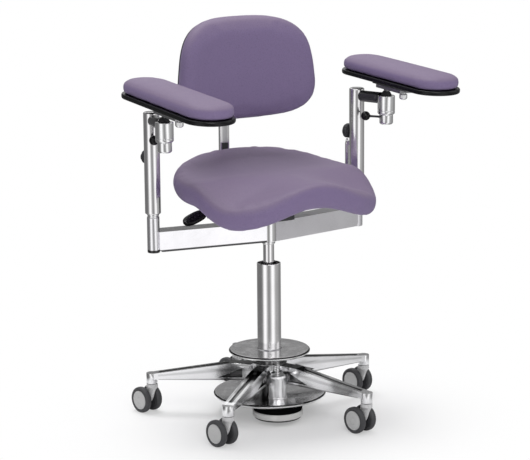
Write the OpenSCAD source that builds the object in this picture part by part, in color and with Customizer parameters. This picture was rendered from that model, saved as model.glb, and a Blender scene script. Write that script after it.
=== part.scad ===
// Operating stool: a five star base on twin wheel castors, a lift disc and a brake disc round the column,
// a saddle seat with a backrest, and two arm rests on posts beside the seat.
// Millimetres. Z points up from the floor and the user faces -Y. Right and left are the seated user's.
// Each piece is drawn round the column axis, and placed so that the middle of the whole is over the origin.

/* [Star base] */
// Distance from the column axis to each castor stem
stem_r = 270; // [230:1:320]
// Angle of the first arm from +X, degrees
first_arm_turn = 3; // [0:1:71]
// Height of the arms' underside
arm_under_z = 82; // [78:0.5:84]
// Height of an arm beside the hub
arm_root_h = 39.5; // [34:0.5:42]
// Height of an arm at its tip
arm_tip_h = 13.3; // [10:0.1:20]
// Width of an arm at the column axis
arm_root_w = 30; // [26:0.5:31]
// Width of an arm at its tip
arm_tip_w = 24; // [20:0.5:28]
// Distance from the column axis at which an arm starts to slope down
arm_peak_r = 85; // [70:1:110]
// Radius of the hub
hub_r = 40; // [36:0.5:41]
// Radius of a castor boss
boss_r = 13; // [11:0.5:16]
// Height of a castor boss's lower face
boss_z = 71.3; // [68:0.1:76]

/* [Castors] */
// Wheel radius
wheel_r = 30; // [26:0.5:32]
// Width over both wheels
castor_w = 46.6; // [40:0.2:60]
// Width of one wheel
wheel_w = 14.6; // [12:0.2:18]
// Distance from the stem axis to the axle
castor_trail = 20.8; // [15:0.2:26]
// Direction that the castors trail in, degrees from +X
castor_turn = 101; // [0:1:359]
// Radius of the wheel disc inside the tyre
disc_r = 21.6; // [18:0.2:25]
// Radius of the castor stem
stem_pin_r = 5.5; // [4:0.25:7]

/* [Column] */
// Radius of the fixed guide column
guide_r = 17; // [16:0.25:18.5]
// Wall of the guide column
guide_wall = 2.5; // [2:0.1:3]
// Height of the guide column's top
guide_top_z = 345; // [320:1:346]
// Radius of the lift tube that carries the seat
lift_r = 12.5; // [11:0.25:13]
// Wall of the lift tube
lift_wall = 2.5; // [2:0.1:3]
// Radius of the cover tube
cover_r = 27; // [25:0.25:32]
// Wall of the cover tube
cover_wall = 2; // [1.5:0.1:3]
// Height of the cover tube's rim
cover_top_z = 354.3; // [354:0.1:358]

/* [Foot controls] */
// Radius of the upper disc
upper_disc_r = 92.6; // [85:0.5:110]
// Height of the upper disc's top
upper_disc_z = 154.3; // [150:0.1:160]
// Radius of the lower disc
lower_disc_r = 128.5; // [120:0.5:140]
// Height of the lower disc's top
lower_disc_z = 54.6; // [54:0.1:58]
// Thickness of both discs
disc_t = 8.7; // [6:0.1:10]
// Distance from the column axis to the brake cylinder
brake_off = 63; // [62:0.5:66]
// Radius of the brake cylinder
brake_cyl_r = 20; // [17:0.5:20]
// Height of the brake cylinder's top
brake_cyl_top_z = 108; // [100:0.5:115]
// Radius of the brake foot's ring
brake_foot_r = 57; // [50:0.5:60]
// Height of the brake foot's sole, and so the brake's travel to the floor
brake_sole_z = 10.6; // [8:0.1:12]
// Outer radius of the disc's return spring
spring_r = 6; // [5:0.25:7]
// Wire radius of the disc's return spring
spring_wire_r = 0.85; // [0.6:0.05:1]
// Turns of the disc's return spring
spring_turns = 7; // [5:1:8]

/* [Arm carrier] */
// Sideways distance from the column axis to each post
post_x = 269.9; // [255:0.5:290]
// Backward distance from the column axis to each post
post_y = 44.7; // [20:0.5:60]
// Height of the crossbars' underside
bar_z = 404; // [400:0.5:408]
// Height of a crossbar
bar_h = 45; // [38:0.5:46]
// Reach of a crossbar in front of its middle line
bar_front = 15; // [13:0.5:18]
// Reach of a crossbar behind its middle line
bar_back = 32; // [20:0.5:36]
// Wall of a crossbar
bar_wall = 3; // [2:0.25:4]
// Radius of the carrier's hub
carrier_r = 15; // [14.5:0.25:18]
// Height of the hub's lower end
carrier_z = 398.3; // [396:0.1:402]
// Radius of a post's socket
socket_r = 13.9; // [13:0.1:15]
// Height of a socket's rim
socket_top_z = 481; // [470:1:485]

/* [Arm rests] */
// Radius of an inner post
inner_post_r = 10.5; // [9:0.25:11]
// Radius of a post tube
post_r = 17.5; // [16:0.25:19]
// Length of a post tube
post_len = 225.5; // [210:0.5:240]
// Height of the right post tube's lower end
right_post_z = 489.5; // [489:0.5:500]
// Height of the left post tube's lower end
left_post_z = 501.8; // [489:0.1:520]
// Outward turn of the right arm, degrees
right_turn = 9.5; // [0:0.5:30]
// Outward turn of the left arm, degrees
left_turn = 16.7; // [0:0.1:30]
// Length of a horizontal arm from post axis to barrel axis
arm_len = 87; // [80:0.5:110]
// Radius of a horizontal arm
arm_r = 13; // [11:0.25:14]
// Radius of a barrel
barrel_r = 20; // [18:0.5:22]
// Height of a barrel
barrel_h = 43.5; // [40:0.5:50]
// Radius of the clamping cup under a barrel
cup_r = 15.8; // [14:0.2:18]
// Height of the clamping cup
cup_h = 23; // [18:0.5:28]
// Length of an arm pad's base plate
pad_len = 380; // [340:1:400]
// Width of an arm pad's base plate
pad_w = 112; // [90:1:114]
// Thickness of an arm pad's cushion
pad_h = 31; // [20:0.5:36]
// Distance from the barrel axis forward to the right pad's middle
right_pad_ahead = 56; // [45:1:60]
// Distance from the barrel axis forward to the left pad's middle
left_pad_ahead = 50; // [45:1:60]
// Forward droop of the right pad, degrees
right_droop = 4; // [0:0.5:6]
// Forward droop of the left pad, degrees
left_droop = 3; // [0:0.5:6]

/* [Seat] */
// Width of the seat
seat_w = 446; // [420:2:460]
// Y of the seat's front edge
seat_front_y = -216; // [-235:1:-200]
// Y of the seat's back edge
seat_back_y = 166; // [160:1:178]
// Height of the seat's top at its middle
seat_z = 562; // [555:1:575]
// Thickness of the seat's edge
seat_edge_h = 55; // [44:1:60]
// Drop of the thigh lobes below the front's middle
lobe_drop = 39; // [10:1:42]
// Rise of the seat's back edge
back_rise = 40; // [10:1:45]

/* [Backrest] */
// Width of the backrest
back_w = 344; // [280:1:350]
// Height of the backrest's lower edge
back_low_z = 665; // [655:1:690]
// Height of the backrest's upper edge
back_high_z = 904; // [880:1:940]
// Y of the backrest's front at its middle
back_front_y = 97; // [90:1:110]
// Thickness of the backrest's cushion
back_cushion_t = 48; // [35:1:55]
// Forward reach of the backrest's wings
back_wing = 38; // [20:1:50]
// Y of the backrest's stem
stem_y = 186; // [182:1:200]
// Width of the backrest's stem
stem_w = 25; // [20:0.5:30]

/* [Fits] */
// Clearance round a running pin or shaft
running_gap = 0.05; // [0.02:0.01:0.09]
// Clearance between pieces that must not touch
free_gap = 0.3; // [0.2:0.05:0.5]

/* [Hidden] */
$fn = 64;
cut_over = 2; // overrun of cuts
arm_count = 5;
sides = ["right", "left"];

// Where the middle of the whole lies from the column axis
middle_x = 5.3;
middle_y = 12.7;

// Colours
polished = "gainsboro";
satin = "silver";
dull_steel = "darkgray";
black_part = [0.09, 0.09, 0.1];
tyre_grey = [0.3, 0.3, 0.31];
disc_grey = [0.78, 0.78, 0.78];
vinyl = [0.46, 0.41, 0.52];

// Small sizes of the star base
groove_w = 8;
groove_d = 2.5;
groove_start_r = 92;
recess_floor = 10.5;
recess_near_r = 62;
recess_far_r = 118;
recess_low = 6;
recess_high = 28;
pocket_half_w = 6.5;
pocket_skin = 6;
boss_chamfer = 1;
hub_step = 2;
stem_pin_h = 19;

// Small sizes of a castor
wheel_gap = castor_w - wheel_w * 2;
fork_side_gap = 1.2;
fork_w = wheel_gap - fork_side_gap * 2;
fork_top_r = 12.6;
fork_top_h = 5;
fork_neck_gap = 1;
fork_nose_r = 7.5;
fork_well_r = wheel_r + fork_side_gap;
axle_r = 4;
axle_end_gap = 3;
tyre_round = 4;
disc_dish = 1.2;
disc_rim = 4;
fork_facets = 24;

// Small sizes of the column
column_low_z = lower_disc_z - disc_t + free_gap * 2;
guide_bore_r = guide_r - guide_wall;
bush_h = 30;
lift_low_z = 150;
lift_plug_up = 34;
lift_high_z = bar_z + lift_plug_up;
lift_plug_h = 22;
cap_h = 5;
cap_spigot_h = 15;
piston_r = lift_r - lift_wall - running_gap;
piston_h = 16;
piston_z = 262;
rod_r = 5;
rod_flange_h = 10;
bush_lip_h = 4;
cover_bush_h = 12;
cover_bush_drop = 10;

// Small sizes of the discs and the brake
disc_top_round = 3;
disc_chamfer = 5.5;
disc_edge_h = 5;
collar_r = 20;
collar_top_z = 79;
brake_turn = 255;
cyl_chamfer = 4;
pin_r = 3;
pin_low_z = 80;
pin_bore_low_z = 66;
foot_body_r = 56;
foot_ring_z = 14.3;
foot_ring_h = 14;
sole_r = 54;
cyl_foot_r = 21.5;
cyl_foot_h = 3;
spring_pitch_r = spring_r - spring_wire_r;
spring_rings = 8;
spring_sides = 6;
spring_low_z = brake_cyl_top_z;
spring_high_z = upper_disc_z - disc_t;

// Small sizes of the arm carrier
bar_round = 8;
bar_end_back = 9.5;
bar_mitre_gap = 0.2;
socket_floor_h = 6;
socket_under = 2.3;
socket_low_z = bar_z - socket_under;
bar_top_z = bar_z + bar_h;
post_turn_angle = atan2(post_y, post_x);
post_dist = norm([post_x, post_y]);

// Small sizes of an arm rest
post_stub_h = 92;
collar_ring_r = 13.4;
collar_ring_h = right_post_z - socket_top_z - running_gap;
collar_groove_h = 2.4;
collar_groove_d = 1.6;
post_cap_h = 4;
post_round = 2;
arm_drop = 18;
knob_drop = 103;
knob_r = 17;
knob_near = 1.2;
knob_t = 13;
knob_round = 3;
knob_screw_r = 4;
rod_back = 29;
lock_rod_r = 4.7;
rod_top_drop = 125;
rod_low_up = 14;
rod_tip_h = 12;
rod_tip_r = 2.4;
lug_h = 10;
lug_w = 8;
barrel_drop = 10.6;
barrel_seam_up = 8;
barrel_seam_d = 0.6;
barrel_seam_h = 1.2;
barrel_round = 2.5;
cup_round = 2.5;
cup_spigot_r = 8;
cup_spigot_h = 6;
lever_r = 2.6;
lever_drop = 7;
lever_len = 48;
lever_rise = 5;
lever_ball_r = 10.7;
right_lever_turn = 0;
left_lever_turn = 65;
dome_base_r = 12.5;
dome_top_r = 7.5;
dome_h = 10;
dome_spigot_r = 8;
dome_spigot_h = 14;
pivot_up = 8;
pivot_pin_r = 2.5;
stud_w = 6.6;
stud_slot_w = 7.4;
stud_r = 6;
rail_up = 17;
rail_t = 9;
rail_w = 34;
rail_ahead = 78;
rail_behind = 18;
rail_knob_ahead = 67;
rail_knob_r = 9.2;
rail_knob_h = 16;
rail_screw_r = 3;
plate_t = 10.5;
plate_round = 3;
plate_lip_w = 4;
plate_lip_h = 4;
plate_lip_len = 130;
slide_block_w = 44;
slide_block_t = 11.5;
cushion_inset = 2.5;

// Small sizes of the seat's parts
housing_w = 120;
housing_front = 17;
housing_back = 93;
housing_h = 27;
housing_top_z = bar_top_z + housing_h;
housing_round = 10;
tilt_y = -4;
tilt_up = 32;
tilt_z = bar_top_z + tilt_up;
tilt_pin_r = 5;
tilt_ear_r = 11;
tilt_ear_w = 12;
tilt_ear_gap = 0.6;
plate_up = 45;
plate_z = bar_top_z + plate_up;
plate_sheet_t = 5;
plate_w = 170;
plate_d = 210;
plate_y = -10;
board_t = 10;
board_w = 230;
board_d = 210;
board_y = -24;
board_round = 50;
lever_y = 38;
lever_up = 20;
lever_z = bar_top_z + lever_up;
lever_out = 198;
lever_shaft_r = 5;
lever_shaft_in = 25;
paddle_len = 58;
paddle_w = 32;
paddle_t = 10;
paddle_droop = 20;
paddle_roll = 18;
seat_ring_points = 56;

// Small sizes of the backrest's parts
bar_arm_t = 8;
bar_arm_w = 40;
back_arm_low_z = plate_z - bar_arm_t;
back_arm_start_y = 60;
back_bend_r = 30;
sleeve_wall = 4.5;
sleeve_side = 2.5;
sleeve_low_z = 520;
sleeve_top_z = 585;
tongue_w = 14;
tongue_t = 2.4;
tongue_top_z = 603;
back_stem_t = 9;
stem_low_z = 515;
back_tilt_z = 745;
back_tilt_y = 180;
back_pin_r = 5;
back_ear_w = 8;
back_ear_r = 12;
back_shell_t = 8;
back_shell_inset = 6;
back_ring_points = 48;

// Shapes shared by several pieces

// A closed solid over rings of points: every ring has the same number of points, and each end is a fan.
// Crossed cuts each four-sided patch along its other diagonal, so that it follows a face lofted the other way
module loft(rings, low_tip, high_tip, crossed = false) {
    n = len(rings[0]);
    m = len(rings);
    points = concat([for (r = rings) for (p = r) p], [low_tip, high_tip]);
    walls = [for (k = [0:m - 2]) for (i = [0:n - 1])
        let (a = k * n + i, b = k * n + (i + 1) % n, c = a + n, d = b + n)
            for (f = crossed ? [[a, c, d], [a, d, b]] : [[a, c, b], [b, c, d]]) f];
    low_fan = [for (i = [0:n - 1]) [m * n, i, (i + 1) % n]];
    high_fan = [for (i = [0:n - 1]) [m * n + 1, (m - 1) * n + (i + 1) % n, (m - 1) * n + i]];
    polyhedron(points, concat(walls, low_fan, high_fan));
}

// The points of a wound spring's wire: straight at both ends, square to the faces that it meets
function spring_path(r, low, high, turns, wire, rings) =
    let (lead = wire * 2, from = low + lead, rise = high - low - lead * 2, steps = turns * rings)
    concat([[r, 0, low]],
           [for (i = [0:steps])
               [r * cos(i * 360 / rings), r * sin(i * 360 / rings), from + rise * i / steps]],
           [[r * cos(turns * 360), r * sin(turns * 360), high]]);

// A round wire of the given radius along a path
module wire(path, r, around) {
    last = len(path) - 1;
    function along(i) = let (d = path[min(i + 1, last)] - path[max(i - 1, 0)]) d / norm(d);
    function square_end(i) = i == 0 || i == last ? [0, 0, 1] : along(i);
    rings = [for (i = [0:last])
        let (t = square_end(i), out = [path[i][0], path[i][1], 0] / norm([path[i][0], path[i][1]]),
             b = cross(t, out) / norm(cross(t, out)), a = cross(b, t))
            [for (k = [0:around - 1]) path[i] + r * (a * cos(k * 360 / around) + b * sin(k * 360 / around))]];
    loft(rings, path[0], path[last]);
}

// Least gap between turns of a wire, from its own points
function least_gap(path, r, rings) =
    min([for (i = [0:len(path) - 1])
         for (j = [i + floor(rings / 2):1:len(path) - 1]) norm(path[i] - path[j])])
    - r * 2;

module rounded_rect(w, d, r) {
    for (x = [-1, 1], y = [-1, 1])
        translate([x * (w / 2 - r), y * (d / 2 - r)]) circle(r);
    square([w - r * 2, d], center = true);
    square([w, d - r * 2], center = true);
}

module stadium(length, w) {
    for (y = [-1, 1])
        translate([0, y * (length - w) / 2]) circle(w / 2);
    square([w, length - w], center = true);
}

// A turned piece with rounded edges at its two ends
module turned(r, h, low_round, high_round) {
    rotate_extrude() intersection() {
        translate([-r, 0]) union() {
            for (side = [[low_round, low_round], [h - high_round, high_round]])
                translate([r * 2 - side[1], side[0]]) circle(side[1]);
            translate([0, low_round]) square([r * 2, h - low_round - high_round]);
            square([r * 2 - max(low_round, high_round), h]);
        }
        square([r, h]);
    }
}

// Star base

function arm_top(r) = r < arm_peak_r ? arm_under_z + arm_root_h
    : arm_under_z + arm_root_h + (arm_tip_h - arm_root_h) * (r - arm_peak_r) / (stem_r - arm_peak_r);

module arm_side_view(from, to, low, skin) {
    rotate([90, 0, 0]) linear_extrude(height = arm_root_w * 2, center = true)
        polygon([[from, low], [to, low], [to, arm_top(to) - skin], [arm_peak_r, arm_top(arm_peak_r) - skin],
                 [from, arm_top(from) - skin]]);
}

module base_arm() {
    difference() {
        intersection() {
            arm_side_view(0, stem_r, arm_under_z, 0);
            linear_extrude(height = arm_under_z * 2)
                polygon([[0, -arm_root_w / 2], [stem_r, -arm_tip_w / 2],
                         [stem_r, arm_tip_w / 2], [0, arm_root_w / 2]]);
        }
        rotate([90, 0, 0]) linear_extrude(height = groove_w, center = true)
            polygon([[groove_start_r, arm_top(groove_start_r) - groove_d],
                     [stem_r - boss_r, arm_top(stem_r - boss_r) - groove_d],
                     [stem_r - boss_r, arm_top(groove_start_r) + cut_over],
                     [groove_start_r, arm_top(groove_start_r) + cut_over]]);
        for (side = [0, 1]) mirror([0, side, 0])
            translate([0, recess_floor, 0]) rotate([90, 0, 0]) mirror([0, 0, 1])
                linear_extrude(height = arm_root_w)
                    polygon([[recess_near_r, arm_under_z + recess_low],
                             [recess_far_r, arm_under_z + recess_low],
                             [recess_near_r, arm_under_z + recess_high]]);
        intersection() {
            arm_side_view(hub_r, stem_r - boss_r, arm_under_z - cut_over, pocket_skin);
            translate([0, -pocket_half_w, 0]) cube([stem_r, pocket_half_w * 2, arm_under_z * 2]);
        }
    }
    translate([stem_r, 0, boss_z]) rotate_extrude()
        polygon([[0, 0], [boss_r - boss_chamfer, 0], [boss_r, boss_chamfer],
                 [boss_r, arm_under_z + arm_tip_h - boss_z], [0, arm_under_z + arm_tip_h - boss_z]]);
}

module star_base() {
    color(polished) difference() {
        union() {
            translate([0, 0, arm_under_z - hub_step]) cylinder(r = hub_r, h = arm_root_h + hub_step * 2);
            for (i = [0:arm_count - 1])
                rotate([0, 0, first_arm_turn + i * 360 / arm_count]) base_arm();
        }
        translate([0, 0, arm_under_z - cut_over * 2]) cylinder(r = guide_r, h = arm_root_h + cut_over * 4);
        for (i = [0:arm_count - 1])
            rotate([0, 0, first_arm_turn + i * 360 / arm_count])
                translate([stem_r, 0, boss_z - cut_over])
                    cylinder(r = stem_pin_r + running_gap, h = stem_pin_h + cut_over + free_gap);
    }
}

// Castors

module at_castor(i) {
    rotate([0, 0, first_arm_turn + i * 360 / arm_count]) translate([stem_r, 0, 0])
        rotate([0, 0, castor_turn - first_arm_turn - i * 360 / arm_count]) children();
}

module castor_fork(i) {
    color(satin) at_castor(i) {
        difference() {
            union() {
                hull() {
                    translate([0, 0, boss_z - fork_neck_gap - fork_top_h])
                        cylinder(r = fork_top_r, h = fork_top_h, $fn = fork_facets);
                    translate([castor_trail, 0, wheel_r]) rotate([90, 0, 0])
                        cylinder(r = fork_nose_r, h = fork_w, center = true, $fn = fork_facets);
                }
                translate([0, 0, boss_z - fork_neck_gap - fork_top_h])
                    cylinder(r = stem_pin_r, h = fork_neck_gap + fork_top_h + stem_pin_h);
            }
            for (side = [-1, 1])
                translate([castor_trail, side * (fork_w + castor_w) / 2, wheel_r]) rotate([90, 0, 0])
                    cylinder(r = fork_well_r, h = castor_w, center = true);
        }
        translate([castor_trail, 0, wheel_r]) rotate([90, 0, 0])
            cylinder(r = axle_r, h = castor_w - axle_end_gap * 2, center = true);
    }
}

module wheel() {
    color(disc_grey) rotate_extrude()
        polygon([[axle_r + running_gap, 0], [disc_r, 0], [disc_r, wheel_w - disc_dish / 2],
                 [disc_r - disc_rim, wheel_w - disc_dish], [axle_r * 2, wheel_w],
                 [0, wheel_w], [0, wheel_w - axle_end_gap + free_gap],
                 [axle_r + running_gap, wheel_w - axle_end_gap + free_gap]]);
    color(tyre_grey) rotate_extrude() {
        translate([disc_r, 0]) square([wheel_r - tyre_round - disc_r, wheel_w]);
        translate([disc_r, tyre_round]) square([wheel_r - disc_r, wheel_w - tyre_round * 2]);
        for (z = [tyre_round, wheel_w - tyre_round])
            translate([wheel_r - tyre_round, z]) circle(tyre_round);
    }
}

module castor_wheels(i) {
    at_castor(i) translate([castor_trail, 0, wheel_r])
        for (side = [0, 1]) mirror([0, side, 0])
            translate([0, wheel_gap / 2, 0]) rotate([-90, 0, 0]) wheel();
}

// Column

module guide_column() {
    color(polished) difference() {
        translate([0, 0, column_low_z]) cylinder(r = guide_r, h = guide_top_z - column_low_z);
        translate([0, 0, column_low_z - cut_over])
            cylinder(r = guide_bore_r, h = guide_top_z - column_low_z + cut_over * 2);
    }
}

module column_bush() {
    color(black_part) difference() {
        union() {
            translate([0, 0, guide_top_z - bush_h]) cylinder(r = guide_bore_r, h = bush_h);
            translate([0, 0, guide_top_z]) cylinder(r = guide_r, h = bush_lip_h);
        }
        translate([0, 0, guide_top_z - bush_h - cut_over])
            cylinder(r = lift_r + running_gap, h = bush_h + bush_lip_h + cut_over * 2);
    }
}

module piston_rod() {
    color(polished) {
        translate([0, 0, column_low_z]) cylinder(r = guide_bore_r, h = rod_flange_h);
        translate([0, 0, column_low_z]) cylinder(r = rod_r, h = piston_z - column_low_z);
        translate([0, 0, piston_z]) cylinder(r = piston_r, h = piston_h);
    }
}

module lift_tube() {
    color(polished) difference() {
        translate([0, 0, lift_low_z]) cylinder(r = lift_r, h = lift_high_z - lift_low_z);
        translate([0, 0, lift_low_z - cut_over])
            cylinder(r = lift_r - lift_wall, h = lift_high_z - lift_plug_h - lift_low_z + cut_over);
    }
}

module lift_end_cap() {
    color(black_part) difference() {
        union() {
            translate([0, 0, lift_low_z - cap_h]) cylinder(r = guide_bore_r - running_gap, h = cap_h);
            translate([0, 0, lift_low_z - cap_h]) cylinder(r = lift_r - lift_wall, h = cap_h + cap_spigot_h);
        }
        translate([0, 0, lift_low_z - cap_h - cut_over])
            cylinder(r = rod_r + running_gap, h = cap_h + cap_spigot_h + cut_over * 2);
    }
}

// Foot controls

// A foot disc's section: a rounded upper edge over a chamfer
module foot_disc(r, top_z) {
    translate([0, 0, top_z - disc_t]) rotate_extrude() {
        polygon([[guide_r + running_gap, 0], [r - disc_chamfer, 0], [r, disc_t - disc_edge_h],
                 [r, disc_t - disc_top_round], [r - disc_top_round, disc_t], [guide_r + running_gap, disc_t]]);
        translate([r - disc_top_round, disc_t - disc_top_round]) circle(disc_top_round);
    }
}

module upper_disc() {
    color(dull_steel) foot_disc(upper_disc_r, upper_disc_z);
}

module cover_tube() {
    color(polished) difference() {
        translate([0, 0, upper_disc_z]) cylinder(r = cover_r, h = cover_top_z - upper_disc_z);
        translate([0, 0, upper_disc_z - cut_over])
            cylinder(r = cover_r - cover_wall, h = cover_top_z - upper_disc_z + cut_over * 2);
    }
    color(black_part) translate([0, 0, cover_top_z - cover_bush_drop - cover_bush_h]) difference() {
        cylinder(r = cover_r - cover_wall, h = cover_bush_h);
        translate([0, 0, -cut_over]) cylinder(r = guide_r + running_gap, h = cover_bush_h + cut_over * 2);
    }
}

module at_brake() {
    rotate([0, 0, brake_turn]) translate([brake_off, 0, 0]) children();
}

module disc_pin() {
    color(polished) at_brake() translate([0, 0, pin_low_z])
        cylinder(r = pin_r, h = upper_disc_z - disc_t - pin_low_z);
}

disc_spring_path = spring_path(spring_pitch_r, spring_low_z, spring_high_z,
                               spring_turns, spring_wire_r, spring_rings);
echo(disc_spring_least_gap = least_gap(disc_spring_path, spring_wire_r, spring_rings));

module disc_spring() {
    color(satin) at_brake() wire(disc_spring_path, spring_wire_r, spring_sides);
}

module lower_disc() {
    color(dull_steel) {
        foot_disc(lower_disc_r, lower_disc_z);
        translate([0, 0, lower_disc_z - disc_t]) difference() {
            cylinder(r = collar_r, h = collar_top_z - lower_disc_z + disc_t);
            translate([0, 0, -cut_over])
                cylinder(r = guide_r + running_gap, h = collar_top_z - lower_disc_z + disc_t + cut_over * 2);
        }
    }
}

module brake_cylinder() {
    color(satin) at_brake() difference() {
        translate([0, 0, lower_disc_z]) rotate_extrude()
            polygon([[0, 0], [cyl_foot_r, 0], [cyl_foot_r, cyl_foot_h], [brake_cyl_r, cyl_foot_h],
                     [brake_cyl_r, brake_cyl_top_z - lower_disc_z - cyl_chamfer],
                     [brake_cyl_r - cyl_chamfer, brake_cyl_top_z - lower_disc_z],
                     [0, brake_cyl_top_z - lower_disc_z]]);
        translate([0, 0, pin_bore_low_z])
            cylinder(r = pin_r + running_gap, h = brake_cyl_top_z - pin_bore_low_z + cut_over);
    }
}

module brake_foot() {
    color(black_part) at_brake() translate([0, 0, foot_ring_z + foot_ring_h])
        cylinder(r = foot_body_r, h = lower_disc_z - disc_t - foot_ring_z - foot_ring_h);
}

module brake_ring() {
    color(disc_grey) at_brake() translate([0, 0, foot_ring_z]) cylinder(r = brake_foot_r, h = foot_ring_h);
}

module brake_sole() {
    color(black_part) at_brake() translate([0, 0, brake_sole_z]) cylinder(r = sole_r, h = foot_ring_z - brake_sole_z);
}

// Arm carrier

module carrier_hub() {
    color(polished) difference() {
        translate([0, 0, carrier_z]) turned(carrier_r, bar_z + bar_h - carrier_z, cut_over, 0);
        translate([0, 0, carrier_z - cut_over])
            cylinder(r = lift_r + running_gap, h = lift_high_z - carrier_z + cut_over);
    }
}

// A crossbar's side view: a box with a rounded lower corner at its outer end
module bar_outline(from, to, low, high, corner) {
    difference() {
        translate([from, low]) square([to - from, high - low]);
        translate([to - corner, low]) difference() {
            translate([0, -cut_over]) square([corner + cut_over, corner + cut_over]);
            translate([0, corner]) circle(corner);
        }
    }
}

module crossbar(side) {
    end = post_dist - bar_end_back;
    mirror([side == "right" ? 1 : 0, 0, 0]) {
        difference() {
            rotate([0, 0, post_turn_angle]) difference() {
                translate([0, bar_back, 0]) rotate([90, 0, 0]) linear_extrude(height = bar_back + bar_front)
                    bar_outline(0, end, bar_z, bar_z + bar_h, bar_round);
                translate([0, bar_back - bar_wall, 0]) rotate([90, 0, 0])
                    linear_extrude(height = bar_back + bar_front - bar_wall * 2)
                        bar_outline(-cut_over, end - bar_wall, bar_z + bar_wall, bar_top_z - bar_wall,
                                    bar_round - bar_wall);
            }
            translate([0, 0, bar_z - cut_over]) cylinder(r = carrier_r, h = bar_h + cut_over * 2);
            translate([bar_mitre_gap / 2 - bar_back * 2, -bar_back * 2, bar_z - cut_over])
                cube([bar_back * 2, bar_back * 4, bar_h + cut_over * 2]);
            translate([post_x, post_y, bar_z - cut_over]) cylinder(r = socket_r, h = bar_h + cut_over * 2);
        }
        translate([post_x, post_y, socket_low_z]) difference() {
            turned(socket_r, socket_top_z - socket_low_z, cut_over, cut_over / 2);
            translate([0, 0, socket_floor_h])
                cylinder(r = inner_post_r + running_gap, h = socket_top_z - socket_low_z);
        }
    }
}

module right_crossbar() {
    color(polished) crossbar("right");
}

module left_crossbar() {
    color(satin) crossbar("left");
}

// Arm rests. Each piece is drawn with its post at the origin and its arm along -Y, and placed by at_post

function post_z(side) = side == "right" ? right_post_z : left_post_z;
function out_turn(side) = side == "right" ? -right_turn : left_turn;
function droop(side) = side == "right" ? right_droop : left_droop;
function pad_ahead(side) = side == "right" ? right_pad_ahead : left_pad_ahead;
function post_sign(side) = side == "right" ? -1 : 1;
function post_top(side) = post_z(side) + post_len;
function barrel_top(side) = post_top(side) - barrel_drop;
function barrel_xy(side) =
    [post_sign(side) * post_x + arm_len * sin(out_turn(side)), post_y - arm_len * cos(out_turn(side))];

module at_post(side) {
    translate([post_sign(side) * post_x, post_y, 0]) rotate([0, 0, out_turn(side)]) children();
}

// The barrel's axis, with the pad pointing straight ahead
module at_barrel(side) {
    translate([barrel_xy(side)[0], barrel_xy(side)[1], barrel_top(side)]) children();
}

module at_pad(side) {
    at_barrel(side) translate([0, 0, pivot_up]) rotate([droop(side), 0, 0])
        translate([0, 0, -pivot_up]) children();
}

module inner_post(side) {
    lift = post_z(side) - right_post_z;
    color(polished) translate([post_sign(side) * post_x, post_y, lift]) {
        translate([0, 0, socket_low_z + socket_floor_h + free_gap])
            cylinder(r = inner_post_r, h = socket_top_z - socket_low_z - socket_floor_h + post_stub_h);
        translate([0, 0, socket_top_z]) rotate_extrude()
            polygon([[0, 0], [collar_ring_r, 0], [collar_ring_r, collar_groove_h],
                     [collar_ring_r - collar_groove_d, collar_groove_h],
                     [collar_ring_r - collar_groove_d, collar_groove_h * 2],
                     [collar_ring_r, collar_groove_h * 2], [collar_ring_r, collar_ring_h], [0, collar_ring_h]]);
    }
}

module post_tube(side) {
    color(polished) at_post(side) {
        difference() {
            union() {
                translate([0, 0, post_z(side)]) turned(post_r, post_len, post_round, post_round);
                translate([0, 0, post_top(side) - arm_drop]) rotate([90, 0, 0])
                    cylinder(r = arm_r, h = arm_len - barrel_r + cut_over);
                for (z = [post_z(side) + rod_low_up, post_top(side) - rod_top_drop - rod_tip_h])
                    translate([-lug_w / 2, 0, z]) cube([lug_w, rod_back, lug_h]);
            }
            translate([0, 0, post_z(side) - cut_over])
                cylinder(r = inner_post_r + running_gap, h = post_len - post_cap_h + cut_over);
            translate([0, -arm_len, post_z(side)]) cylinder(r = barrel_r, h = post_len + cut_over);
            translate([0, rod_back, post_z(side)]) cylinder(r = lock_rod_r, h = post_len);
            translate([0, 0, post_top(side) - knob_drop]) rotate([-90, 0, 0])
                cylinder(r = knob_screw_r + running_gap, h = post_r * 2);
        }
    }
}

module lock_rod(side) {
    color(polished) at_post(side) translate([0, rod_back, post_z(side) + rod_low_up - cut_over])
        rotate_extrude() polygon([[0, 0], [lock_rod_r, 0],
                                  [lock_rod_r, post_len - rod_top_drop - rod_low_up - rod_tip_h / 2],
                                  [rod_tip_r, post_len - rod_top_drop - rod_low_up + rod_tip_h / 2],
                                  [0, post_len - rod_top_drop - rod_low_up + rod_tip_h / 2]]);
}

module clamp_knob(side) {
    color(black_part) at_post(side) translate([0, 0, post_top(side) - knob_drop]) rotate([-90, 0, 0]) {
        translate([0, 0, post_r + knob_near]) turned(knob_r, knob_t, knob_round / 2, knob_round);
        translate([0, 0, inner_post_r + free_gap * 2])
            cylinder(r = knob_screw_r, h = post_r - inner_post_r + knob_near);
    }
}

module arm_barrel(side) {
    color(polished) at_barrel(side) difference() {
        translate([0, 0, -barrel_h]) turned(barrel_r, barrel_h, barrel_round, barrel_round / 2);
        translate([0, 0, -dome_spigot_h - free_gap])
            cylinder(r = dome_spigot_r + running_gap, h = dome_spigot_h + free_gap + cut_over);
        translate([0, 0, -barrel_h - cut_over])
            cylinder(r = cup_spigot_r + running_gap, h = cup_spigot_h + free_gap + cut_over);
        translate([0, 0, barrel_seam_up - barrel_h]) difference() {
            cylinder(r = barrel_r + cut_over, h = barrel_seam_h);
            cylinder(r = barrel_r - barrel_seam_d, h = barrel_seam_h);
        }
    }
}

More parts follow.
